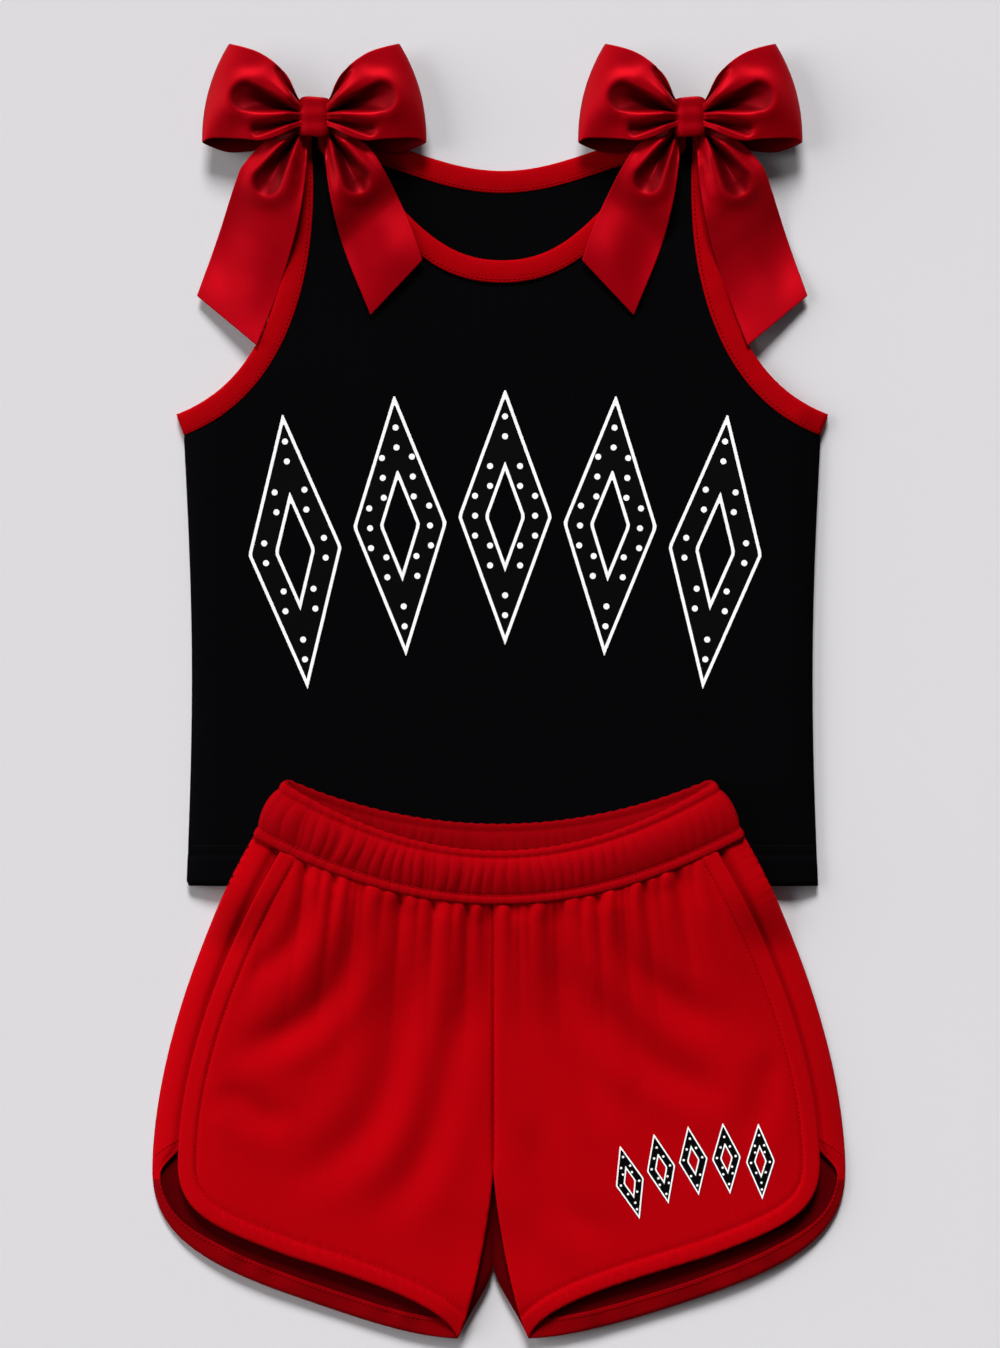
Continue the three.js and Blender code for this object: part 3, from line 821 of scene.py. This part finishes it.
def ribbon(points, across, shade):
    """A grid of points as a piece of ribbon, with its weave measured along and across it, and the painted
    shade of its folds.
    """
    rows, columns = across.shape
    along = lengths(points[:, columns // 2])
    uv = np.stack([np.repeat(along[:, None], columns, axis=1), across * RIBBON_WIDTH], axis=-1) / 1000
    return points.reshape(-1, 3), grid_faces(rows, columns), uv.reshape(-1, 2), shade.ravel()


def loop_points():
    """A ribbon loop, from the knot out along the table, over at its end and back above."""
    rows, columns = 110, 64
    u, v = np.meshgrid(np.linspace(0, 1, rows), np.linspace(0, 1, columns), indexing="ij")
    reach, turn = np.sin(np.pi * u), np.cos(np.pi * u)
    upper = (1 - turn) / 2
    over = ease(0.35, 0.65, upper)[..., None]
    low = mix(through(LOOP_LOW_UNDER, reach), through(LOOP_LOW_OVER, reach), over)
    flat = mix(low, through(LOOP_TOP, reach), v[..., None])
    x, y = flat[..., 0], flat[..., 1]
    bulge = 4.0 * 4 * v * (1 - v) * reach**6
    x = x + bulge * 0.96
    y = y + bulge * 0.27
    opening = 2.0 + 4.5 * ease(0, 0.25, reach) + 3.5 * reach**1.5
    height = LOOP_MIDDLE - turn * opening
    folds, shade = hollow(x, y, (9, 3.2), (36.0, 10.0), (1.2, 9.2), 9.5, 1.5)
    lower, lower_shade = hollow(x, y, (9, -2.0), (30, -7.6), (1.0, 4.4), 7.5, 0.8)
    upper_fold, upper_shade = hollow(x, y, (8.5, 8.8), (18.5, 24), (0.8, 3.0), 5.5, 0.8)
    folds = folds + lower + upper_fold
    shade = np.maximum(np.maximum(shade, 0.9 * lower_shade), 0.6 * upper_shade) * ease(0.5, 0.8, upper)
    # Painted shade: the loop's under layer, seen inside its mouth, is darkened.
    shade = np.maximum(shade, mix(0.7, 0, ease(0.3, 0.6, upper)))
    folds += crease(x, y, (9, 6.5), (27, 21), (1.5, 5.0), (1.6, 1.2))
    folds += crease(x, y, (9, 1.2), (33, -1.2), (1.0, 2.6), (1.6, 0.8))
    folds += (4.4 * np.sin(np.pi * v) + 1.0 * np.sin(y / 6.0 + 0.8)) * ease(0.5, 0.95, reach)
    folds *= ease(0.5, 0.9, upper) * ease(0, 0.12, reach)
    height = height + folds
    floor = LOOP_MIDDLE - opening + 1.4
    height = np.where(upper > 0.5, floor + 0.5 * (height - floor + np.hypot(height - floor, 0.8)), height)
    height = np.maximum(height, 1.0 + strap_height(KNOT[1] + y) * 2)
    points = np.stack([x, y, height], axis=-1)
    return ribbon(points, v, shade)


# Each tail's two edges from the knot down, the hollow and the fold below the knot, where its wave
# begins and how high its two lower corners lie.
TAILS = {
    "outer": {
        "left": [(3.2, -9.2), (3.9, -13.6), (4.2, -28.8), (8.4, -56), (17.9, -87.5), (30.6, -121.2)],
        "right": [(7.6, -4.0), (12.0, -5.6), (25.4, -12.6), (36.4, -23.4), (42.9, -36.3), (63.1, -94.1)],
        "hollow": ((9.5, -9.5), (24.5, -34.0), (1.2, 9.0)),
        "edge_fold": ((4.8, -9), (9.5, -30)),
        "wave": -3.09,
        "ends": (9.3, 3.4),
    },
    "inner": {
        "left": [
            (-7.6, -4.0), (-10.8, -4.8), (-26.7, -13.8), (-36.4, -26.6), (-49.5, -52.7), (-57.6, -75.6)
        ],
        "right": [
            (-4.0, -9.2), (-6.2, -12.4), (-6.0, -23.4), (-9.2, -45.1), (-15.8, -70.1), (-29.9, -104.9)
        ],
        "hollow": ((-9.0, -9.0), (-22.5, -33.0), (1.2, 8.6)),
        "edge_fold": ((-6.0, -9), (-9.5, -30)),
        "wave": -1.26,
        "ends": (9.6, 9.4),
    },
}


def tail_points(tail):
    """A ribbon tail: gathered at the knot, hollowed below it, then lying flat to its slanted cut."""
    rows, columns = 120, 50
    u, v = np.meshgrid(np.linspace(0, 1, rows), np.linspace(0, 1, columns), indexing="ij")
    flat = mix(through(tail["left"], u), through(tail["right"], u), v[..., None])
    x, y = flat[..., 0], flat[..., 1]
    end = mix(tail["ends"][0], tail["ends"][1], v)
    rise = 6.0 * ease(0.02, 0.16, u) * (1 - ease(0.3, 0.62, u))
    height = mix(STRAP_FACE + 6.2, end, ease(0.05, 0.8, u)) + rise
    # The hollow below the knot brings its painted shade with it.
    dip, shade = hollow(x, y, *tail["hollow"], 9.0, 1.4)
    height += dip
    height -= 2.6 * ease(0.3, 0.06, np.minimum(v, 1 - v)) * ease(0, 0.1, u) * (1 - ease(0.2, 0.45, u))
    height -= crease(x, y, *tail["edge_fold"], (1.4, 2.6), (2.6, 0.6))
    height += 0.9 * np.sin(2 * np.pi * (v - 0.15)) * ease(0.4, 0.7, u) * (1 - ease(0.8, 1.0, u))
    height += 1.5 * np.sin(3.2 * np.pi * u + tail["wave"] + 0.5 * v) * ease(0.42, 0.62, u)
    points = np.stack([x, y, height], axis=-1)
    return ribbon(points, v, shade)


def knot_points():
    """The band over the middle: one turn of ribbon right round the strap and the gathered bow."""
    rows, columns = 56, 22
    turn, v = np.meshgrid(
        np.linspace(0, 2 * math.pi, rows, endpoint=False), np.linspace(-1, 1, columns), indexing="ij"
    )
    bulge = 1 - 0.10 * np.abs(v) ** 6
    c, s = np.cos(turn), np.sin(turn)
    x = np.sign(c) * np.abs(c) ** 0.5 * (KNOT_HALF[0] + 0.3) * bulge
    crown = np.where(s > 0, 0.78, 0.35)
    middle, half = (KNOT_TOP + 0.3) / 2 + 0.2, (KNOT_TOP + 0.3) / 2
    z = middle + np.sign(s) * np.abs(s) ** crown * half * np.where(s > 0, bulge, 1)
    z += 0.25 * np.sin(v * 7.0 + 0.6) * np.clip(s, 0, 1) * (1 - v * v)
    y = v * KNOT_HALF[1] * (1 - 0.03 * np.cos(2 * turn))
    y = y + 0.25 * np.sin(3 * x / KNOT_HALF[0]) * np.abs(v) ** 3
    points = np.stack([x, y, z], axis=-1)
    uv = np.stack([turn / (2 * math.pi) * KNOT_ROUND, (v + 1) * RIBBON_WIDTH / 2], axis=-1) / 1000
    # Painted shade: the band's colour darkens towards its two edges.
    shade = 0.35 * np.abs(v) ** 4
    faces = grid_faces(rows, columns, close_rows=True)
    return points.reshape(-1, 3), faces, uv.reshape(-1, 2), shade.ravel()


# Each piece's shape, what it rides on, and the size and area of its ribbon laid flat.
bow_pieces = {
    "knot": (knot_points(), "top", (0.022, 0.056), 0.00122),
    "outer_loop": (loop_points(), "top", (0.038, 0.150), 0.0057),
    "inner_loop": (loop_points(), "top", (0.038, 0.150), 0.0057),
    "outer_tail": (tail_points(TAILS["outer"]), "tail", (0.038, 0.125), 0.0042),
    "inner_tail": (tail_points(TAILS["inner"]), "tail", (0.038, 0.108), 0.0036),
}
for side, sign in (("left", -1), ("right", 1)):
    for name, ((points, faces, uv, shade), body, flat, area) in bow_pieces.items():
        points = points * [sign * (-1 if name == "inner_loop" else 1), 1, 1]
        faces = facing_out(faces, (sign < 0) != (name == "inner_loop"))
        points = points + [sign * KNOT[0], KNOT[1], 0]
        label = f"{side}_satin_{name}"
        piece = make_object(label, points, faces, TOP_MIDDLE, [satin], uv, RIBBON, shade=shade)
        smooth = piece.modifiers.new("soft folds", "SUBSURF")
        smooth.levels = smooth.render_levels = 1
        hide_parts(f"{side}_bow_{name}")
        if body == "top":
            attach(piece, "top")
        else:
            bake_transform(piece)

# --- Shorts, back panels -------------------------------------------------------------------------
# Two back panels of lighter red jersey, seamed at the middle. They lie over the top's hem and come
# down to the table beyond it, and wrap round to a side seam on the front.

SHORTS_KNIT = 0.8
CENTRE_SEAM = -3.0  # the seam between the legs lies a little to the left
RIM_HALF, SEAM_HALF, BAND_HEIGHT = 113.0, 129.0, 28.6
FRONT_RIM, BACK_RIM = (19.4, 35.0), (33.2, 24.4)  # the rim's y at the middle, and its rise
SHORTS_HALF, VENT_Y = 185.0, -152.0
FRONT_FORK, BACK_FORK = -150.0, -202.5  # where the two legs part
HEM_BEND, HEM_LOW = (120.0, -215.0), (18.8, -241.5)
SIDE_INSET, FRONT_RISE = 14.0, 18.0  # how much smaller the front is, at the side and the hem
BAND_MIDDLE = 500 * (band_low[2] + band_high[2])
RUN = 4.45  # each run of the waistband lies this far above or below the middle


def rim_y(c, level):
    """The rim's y, at a share c of its half width; level is 0 at the back and 1 at the front."""
    return mix(BACK_RIM[0] + BACK_RIM[1] * c * c, FRONT_RIM[0] + FRONT_RIM[1] * c * c, level)


def run_level(c, run):
    """0 on the back run, 1 on the front run; the two meet half-way at each side fold."""
    return (1 + run * np.maximum(0, 1 - c * c) ** 0.1) / 2


def leg_outline(inset, rise, run, fork, reach):
    """The right half of the shorts as five lines: waist, side, round corner, hem and inner leg."""
    c = np.linspace(0, (SEAM_HALF - inset) / SEAM_HALF, 30)
    waist = np.stack([c * SEAM_HALF, rim_y(c, run_level(c, run)) - BAND_HEIGHT + 1.5], axis=1)
    corner = (SHORTS_HALF - inset, VENT_Y + rise * 0.2)
    bend = (HEM_BEND[0] - inset * 0.6, HEM_BEND[1] + rise)
    side = bezier(waist[-1], (29, -49), (0, 57), corner)
    round_corner = bezier(corner, (0, -33 + rise * 0.4), (40, 15), bend, 20)
    hem = bezier(bend, (-50, -18 + rise * 0.15), (21.2 - rise * 0.9, 0.5 + rise * 0.95), HEM_LOW, 30)
    inner = bezier(HEM_LOW, (-9, 20), reach, (0, fork), 24)
    return waist, side, round_corner, hem, inner


def one_leg(lines, sign):
    """A closed outline of one leg's panel, its inner edge on the centre seam."""
    waist, side, corner, hem, inner = (line.copy() for line in lines)
    seam_x = CENTRE_SEAM * sign
    waist[0, 0] = seam_x
    inner[:, 0] += seam_x
    hem[:, 0] += seam_x * (1 - ease(18, 110, hem[:, 0]))
    half = np.vstack([waist, side[1:], corner[1:], hem[1:], inner[1:]])
    return half if sign > 0 else flipped(half)


def hem_path(lines, sign):
    """The panel's free edge from its side seam's top round to the inner leg, and where the vent is."""
    _, side, corner, hem, _ = (line.copy() for line in lines)
    hem[:, 0] += CENTRE_SEAM * sign * (1 - ease(18, 110, hem[:, 0]))
    path = spaced(np.vstack([side, corner[1:], hem[1:]]), 2.5)
    return path, lengths(path) - lengths(side)[-1]


back_lines = leg_outline(0, 0, -1, BACK_FORK, (1.5, -12))
front_lines = leg_outline(SIDE_INSET, FRONT_RISE, 1, FRONT_FORK, (1.5, -25))


def side_x(y, lines):
    """How far out the side seam lies at each height."""
    side = lines[1][::-1]
    return np.interp(y, side[:, 1], side[:, 0])


def band_rise(x, y):
    """How far a panel stands from the waistband's middle height: nothing at its side folds."""
    return RUN * np.maximum(0, 1 - np.clip(np.abs(x) / side_x(y, back_lines), 0, 1) ** 2) ** 0.2


def shorts_back(x, y):
    """The back lies on the top, then on the table, and its free edges lift a little."""
    lift = 4.0 * ease(-120, -235, y) + 0.5 * np.sin(np.abs(x) / 17.0) * ease(-150, -200, y)
    return mix(SHORTS_KNIT / 2 + 0.2 + lift, BAND_MIDDLE - band_rise(x, y), ease(-34, 6, y))


LEG_ROOM = 9.8  # how far each leg stands open
inner_line = front_lines[4][::-1]


def front_rest(x, y):
    """The front without its folds: it stands open over the back and comes down to its seams."""
    back = shorts_back(x, y)
    low = mix(SHORTS_KNIT + LEG_ROOM, BAND_MIDDLE + band_rise(x, y) + 0.4, ease(-80, 2, y))
    off_side = side_x(np.maximum(y, VENT_Y), front_lines) - np.abs(x)
    off_inner = np.abs(x - CENTRE_SEAM) - np.interp(y, inner_line[:, 1], inner_line[:, 0])
    inseam = mix(1, mix(0.25, 1, ease(0, 20, off_inner)) * ease(-2, 8, off_inner), ease(-165, -205, y))
    side = mix(ease(-8, 26, off_side), 1, ease(-40, 12, y))
    return mix(back + 4.4 * ease(-250, -215, y) + 1.0, low, side * inseam)


red_jersey = jersey("red_polycotton_jersey", "#b6020b", "#a20109", 0.01, relief=0.12)
# The wrong side of the same cloth is brushed and duller; it is also painted much darker, as painted shade
# for the inside of the legs under the front.
brushed_and_shaded_red = jersey("brushed_red_jersey_with_painted_shade", "#5c0105", "#480104", 0.01, relief=0.2)
# Where the cloth is folded back on itself inside the legs and the band, it lies in its own shade: a darker
# copy of the jersey paints that shade.
painted_shade_red = jersey("red_jersey_painted_shade", "#8e0208", "#780107", 0.01, relief=0.15)


def folded_edge(sign):
    """The back's edge. Above the vent it rolls forward to the side seam; below, it is a turned hem.
    The surface is given by s, the distance along from the vent, and t, from the edge inwards."""
    path, along = hem_path(back_lines, sign)
    inward = aside(path, -1.0) - path

    def surface(s, t):
        at = read_line(path, along, s)
        way = read_line(inward, along, s)
        rolled = 1 - ease(-18, 3, s)
        width = mix(mix(4.0, 10.0, ease(0, 70, s)), 16.5, rolled)
        flat = at + way * (width * t)[..., None]
        start = shorts_back(at[..., 0], at[..., 1])
        under = shorts_back(flat[..., 0], flat[..., 1])
        front_x = np.minimum(flat[..., 0], side_x(np.maximum(flat[..., 1], VENT_Y), front_lines) - 1)
        seam = front_rest(front_x, flat[..., 1]) - 2.1
        wavy = np.sin(s / 4.4 + 2 * np.sin(s / 13.0)) + 0.6 * np.sin(s / 9.5 + 1.0)
        sewn_down = ease(along[-1] - 10, along[-1] - 36, s)  # flat again where the inner seam takes it in
        turned = under + 0.3 + (0.6 + 1.9 * t + 0.6 * wavy * t * ease(0, 25, s)) * sewn_down
        curl = np.sin(np.pi / 2 * np.clip(t * 5.0, 0, 1)) ** 0.7
        round_over = mix(curl, np.sin(np.pi / 2 * t) ** 0.8, rolled)
        height = start + (mix(turned, seam, rolled) - start) * round_over
        height = height + (1.0 * np.sin(np.pi * t) - 1.2 * ease(0.6, 0.85, t)) * rolled
        return np.stack([sign * flat[..., 0], flat[..., 1], height], axis=-1)

    return surface, along


shorts_rows = []
for side, sign in (("left", -1), ("right", 1)):
    points, faces = cut_cloth(one_leg(back_lines, sign), shorts_back, 4.0)
    parts = [(points, faces, points[:, :2] / 1000)]
    inside_faces = len(faces)
    surface, along = folded_edge(sign)
    steps = spaced(np.stack([along, 0 * along], axis=1), 1.8)[:, 0]
    s, t = np.meshgrid(steps, np.linspace(0, 1, 14), indexing="ij")
    edge = surface(s, t)
    edge_faces = facing_out(grid_faces(*s.shape), sign < 0)
    parts.append((edge.reshape(-1, 3), edge_faces, edge.reshape(-1, 3)[:, :2] / 1000))
    points, faces, uv = joined(parts)
    # The turned hem below the vent takes the darker copy of the jersey, as painted shade.
    facing = s[:-1, :-1].ravel() > 4
    slots = [0] * inside_faces + [3 if low else 1 for low in facing]
    cloths = [brushed_and_shaded_red, red_jersey, red_jersey, painted_shade_red]
    name = f"{side}_back_of_shorts"
    piece = make_object(name, points, faces, SHORTS_MIDDLE, cloths, uv, SHORTS_KNIT, slots)
    piece.modifiers["cloth thickness"].material_offset = 1
    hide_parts(f"shorts_back_{side}")
    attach(piece, "shorts")
    row_s = np.linspace(6, along[-1] - 4, 150)
    edge_row = surface(row_s, np.full_like(row_s, 0.84))
    slant_t = np.linspace(0.1, 0.95, 12)
    slant = surface(-6 - 15 * slant_t, slant_t)
    shorts_rows += [row + [0, 0, SHORTS_KNIT / 2 + 0.15] for row in (edge_row, slant)]

# --- Shorts, front panels ------------------------------------------------------------------------
# Two front panels in the same jersey, gathered into the waistband, seamed at the middle, rounded at
# the side vents and hemmed with one row of stitches.

BORDER = 9.2  # width of the turned edge


def waist_seam_y(x):
    """Where the front panels are sewn to the waistband."""
    c = np.clip(np.abs(x) / SEAM_HALF, 0, 1)
    return rim_y(c, run_level(c, 1)) - BAND_HEIGHT


def pleats(x, spacing, sway):
    """Rounded ridges with narrow valleys between, unevenly spaced."""
    phase = x / spacing + sway * np.sin(x / 13.0 + 0.6) + 0.45 * sway * np.sin(x / 5.9 + 1.0)
    return np.abs(np.sin(np.pi / 2 * phase)) ** 0.75 - 0.62


def gathers(x, depth):
    """Pleats below the waistband. Small ones run out first; broad ones reach half-way down."""
    spread = x * (1 - 0.0012 * depth)
    small = 3.0 * pleats(spread, 4.3, 0.35) * np.exp(-depth / 15.0)
    middle = 3.4 * pleats(spread + 3, 8.4, 0.4) * np.exp(-((depth / 42.0) ** 1.4))
    broad = 1.5 * np.sin(spread / 8.0 + 1.2 * np.sin(spread / 27.0)) * np.exp(-((depth / 75.0) ** 2))
    return (small + middle - 0.9) * (0.3 + 0.7 * ease(0, 5, depth)) + broad * ease(0, 12, depth)


# Long soft folds, each a few points along its valley, with a width and a depth.
LONG_FOLDS = [
    ([(-99, 6), (-107, -22), (-122, -40), (-143, -54)], 7, 2.0),
    ([(-76, -14), (-87, -53), (-114, -78), (-150, -91)], 8, 2.4),
    ([(-42, -16), (-59, -104), (-87, -144), (-130, -162)], 10, 2.0),
    ([(-152, -104), (-134, -117), (-110, -131)], 8, 1.7),
    ([(-14, -30), (-24, -78), (-42, -147), (-77, -187)], 9, 1.8),
    ([(58, -4), (70, -39), (98, -64), (124, -79)], 8, 2.0),
    ([(44, -40), (66, -81), (106, -107), (130, -113)], 9, 2.2),
    ([(31, -22), (39, -67), (53, -112), (72, -130)], 9, 2.0),
    ([(12, -120), (32, -168), (64, -194)], 9, 1.7),
    ([(116, 6), (132, -22), (146, -42)], 6, 1.6),
    ([(150, -84), (141, -112), (136, -140)], 9, 1.2),
]


def long_folds(x, y):
    """All the long folds: each a valley with a softer ridge beside it."""
    flat = np.column_stack([np.ravel(x), np.ravel(y)])
    total = np.zeros(len(flat))
    for stops, width, depth in LONG_FOLDS:
        line = through(stops, np.linspace(0, 1, 60))
        gaps = np.linalg.norm(flat[:, None] - line[None], axis=2)
        nearest = gaps.argmin(axis=1) / (len(line) - 1)
        fade = ease(0, 0.3, nearest) * ease(1, 0.65, nearest)
        away = distance(flat, line)
        total -= depth * fade * np.exp(-((away / width) ** 2))
        total += 0.45 * depth * fade * np.exp(-(((away - 1.9 * width) / width) ** 2))
    return total.reshape(np.shape(x))


def shorts_front(x, y):
    """The front with its pleats at the waist and the long folds below them."""
    off_side = side_x(np.maximum(y, VENT_Y), front_lines) - np.abs(x)
    depth = np.maximum(waist_seam_y(x) - y, 0)
    seam = 1.6 * np.exp(-np.abs(x - CENTRE_SEAM) / 0.9) * ease(FRONT_FORK - 10, FRONT_FORK + 10, y)
    folds = gathers(x, depth) * ease(5, 22, side_x(y, front_lines) - np.abs(x))
    folds = folds + long_folds(x, y) * ease(8, 22, off_side)
    return front_rest(x, y) + folds - seam


for side, sign in (("left", -1), ("right", 1)):
    path, along = hem_path(front_lines, sign)
    row = spaced(aside(path, -BORDER), 2.0) * [sign, 1]
    row = row[(row[:, 1] < waist_seam_y(row[:, 0]) - 2) & inside(row, one_leg(front_lines, sign))]
    row = row[distance(row, path * [sign, 1]) > BORDER - 0.3]
    row_lines = [aside(row, shift) for shift in (-1.6, -0.8, 0, 0.8, 1.6)]
    row_lines += [aside(path, -inset) * [sign, 1] for inset in (0.9, 2.0, 3.4)]

    def pressed(x, y, row=row, path=path * [sign, 1]):
        """The front with its turned edge, a fold thicker, and the groove that its stitches pull."""
        flat = np.column_stack([x, y])
        free = distance(flat, path)
        border = 0.6 * ease(BORDER + 0.4, BORDER - 1.6, free) - 0.35 * (1 - ease(0, 1.6, free))
        return shorts_front(x, y) + border - 0.6 * np.exp(-((distance(flat, row[::2]) / 0.8) ** 2))

    points, faces = cut_cloth(one_leg(front_lines, sign), pressed, 1.35, row_lines, tall=2.0)
    name = f"{side}_front_of_shorts"
    piece = make_object(name, points, faces, SHORTS_MIDDLE, [red_jersey], thickness=SHORTS_KNIT)
    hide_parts(f"shorts_front_{side}")
    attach(piece, "shorts")
    height = pressed(row[:, 0], row[:, 1])
    shorts_rows.append(np.column_stack([row, height + SHORTS_KNIT / 2 + 0.12]))

# --- Waistband -----------------------------------------------------------------------------------
# A casing of the shorts' own jersey, folded over a hidden elastic and held by two rows of
# stitches. The elastic draws it into fine upright gathers.

CASING_HALF = 2.35  # half the casing's thickness
STITCH_ROWS = (4.3, 23.9)  # down from the rim


def band_point(angle, down, out):
    """A point of the waistband: angle round it, distance down from the rim, and outwards."""
    c, s = np.cos(angle), np.sin(angle)
    level = run_level(c, np.sign(np.round(s, 9)))
    flat = 2 * level - 1
    normal = np.stack([np.sign(c) * np.abs(c) ** 8, flat], axis=-1)
    normal /= np.linalg.norm(normal, axis=-1, keepdims=True)
    half = mix(RIM_HALF, SEAM_HALF, down / BAND_HEIGHT)
    y = rim_y(c, level) - down
    return np.stack(
        [half * c + out * normal[..., 0], y, BAND_MIDDLE + RUN * flat + out * normal[..., 1]], axis=-1
    )


def swell(down, start, end, lean=1.0):
    """A smooth roll of cloth between two heights; a lean under 1 puts its top nearer the start."""
    return np.sin(np.pi * np.clip((down - start) / (end - start), 0, 1) ** lean) ** 0.7


def puffed(down):
    """The casing swells into a small roll above the upper stitches, a wide one between the rows and
    a small one below them."""
    upper, lower = STITCH_ROWS
    return (
        3.2 * swell(down, upper, lower, 0.72)
        + 0.9 * swell(down, 0, upper)
        + 0.8 * swell(down, lower, BAND_HEIGHT)
    )


def ruching(x, run, down):
    """Uneven upright gathers, strongest between the two rows of stitches."""
    x = x + 41 * run
    drift = x + 0.7 * np.sin(down / 5.0 + x / 9.0)
    small = pleats(drift, 2.8, 0.5)
    large = pleats(drift + 2, 6.6, 0.6) * (0.55 + 0.45 * np.sin(x / 19.0 + 2.0 * np.sin(x / 31.0)))
    upper, lower = STITCH_ROWS
    amount = 0.3 + 0.7 * np.sin(np.pi * np.clip((down - upper) / (lower - upper), 0, 1))
    return (0.85 * small + 1.5 * large) * amount - 0.3


def gathered(angle, run, down):
    """The gathers right round the band, dying out at its two side folds."""
    return ruching(RIM_HALF * np.cos(angle), run, down) * ease(1.0, 0.93, np.abs(np.cos(angle)))


half_turn = np.arccos(np.linspace(1, -1, 460))
angles = np.concatenate([half_turn, 2 * math.pi - half_turn[::-1][1:-1]])
profile = [(0.0, 0.4)] + [(d, 1) for d in np.linspace(0.5, BAND_HEIGHT - 0.3, 44)]
profile += [(BAND_HEIGHT + 0.1, 0.3), (BAND_HEIGHT + 0.1, -0.3)]
profile += [(d, -1) for d in np.linspace(BAND_HEIGHT - 0.3, 0.5, 30)] + [(0.0, -0.4)]
down = np.array([p[0] for p in profile])
share = np.array([p[1] for p in profile])
angle_grid, down_grid = np.meshgrid(angles, down, indexing="ij")
share_grid = np.broadcast_to(share, angle_grid.shape)
run = np.sign(np.round(np.sin(angle_grid), 9))
relief = puffed(down_grid) + gathered(angle_grid, run, down_grid)
outer = np.maximum(CASING_HALF - 1.0 + relief, 1.0) * (share_grid > 0.9)
inner = (CASING_HALF - 0.7 + 0.45 * relief * (run < 0)) * (share_grid < -0.9)
out_by = np.where(np.abs(share_grid) < 0.9, share_grid * CASING_HALF, outer - inner)
band = band_point(angle_grid, down_grid, out_by)
band[..., 1] += 0.22 * np.sin(RIM_HALF * np.cos(angle_grid) / 0.9 + run) * np.exp(-down_grid / 3)
around = lengths(band[:, 5])
uv = np.stack([np.repeat(around[:, None], len(down), axis=1), down_grid], axis=-1) / 1000
faces = grid_faces(len(angles), len(profile), close_rows=True, close_columns=True)
# Drawn up on the elastic, the jersey's face is packed closer; its darker colour is painted shade between
# the gathers.
gathered_red_painted_shade = jersey("gathered_red_jersey_painted_shade", "#a4020a", "#8c0109", 0.01, relief=0.12)
# The band's inner faces take the darker copy of the jersey, as painted shade.
slots = [1 if share[j] < 0 else 0 for _ in angles for j in range(len(profile))]
points, uv = band.reshape(-1, 3), uv.reshape(-1, 2)
cloths = [gathered_red_painted_shade, painted_shade_red]
waistband = make_object("waistband", points, faces, SHORTS_MIDDLE, cloths, uv, slots=slots)
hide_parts("waistband_casing")
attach(waistband, "shorts")

for row_down in STITCH_ROWS:
    row_depth = np.full_like(angles, row_down)
    out_by = np.maximum(CASING_HALF - 1.0 + gathered(angles, 1, row_depth), 1.0) + 0.3
    row = band_point(angles, row_depth, out_by)
    shorts_rows.append(row[np.sin(angles) >= 0])
stitching("shorts_stitching", shorts_rows, SHORTS_MIDDLE, red_thread, "shorts")

# --- Elastic -------------------------------------------------------------------------------------
# A loop of woven white elastic, 23 mm wide, hidden inside the casing. It keeps its own shape.

elastic, tree, out = new_material("white_woven_elastic")
settings = {"Scale": 330.0, "bands_direction": "Y"}
cords = add(tree, "ShaderNodeTexWave", settings, {"Vector": object_place(tree)})
surfaced(
    tree,
    out,
    {"Base Color": linear("#e6e2d8"), "Roughness": 0.8},
    {"Normal": bumped(tree, cords.outputs["Fac"], 0.5, 0.0003)},
)
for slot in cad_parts["waist_elastic"].material_slots:
    slot.material = elastic

# --- Small diamonds on the leg -------------------------------------------------------------------
# The same film, cut small, in a row that climbs towards the side of one leg.

LEG_ROW = {
    "x": 103.5, "y": -146.0, "pitch": 17.6, "width": 15.4, "height": 37.5, "drop": 1.5, "growth": 0.8,
    "turn": 3.0, "tilt": 9.0, "hole": 0.34, "line": 0.75, "dot": 1.3, "dot_pitch": (5.0, 3.6), "cell": 1.2,
}  # fmt: skip
diamond_row("shorts", "leg", 5, LEG_ROW, shorts_front, SHORTS_MIDDLE)
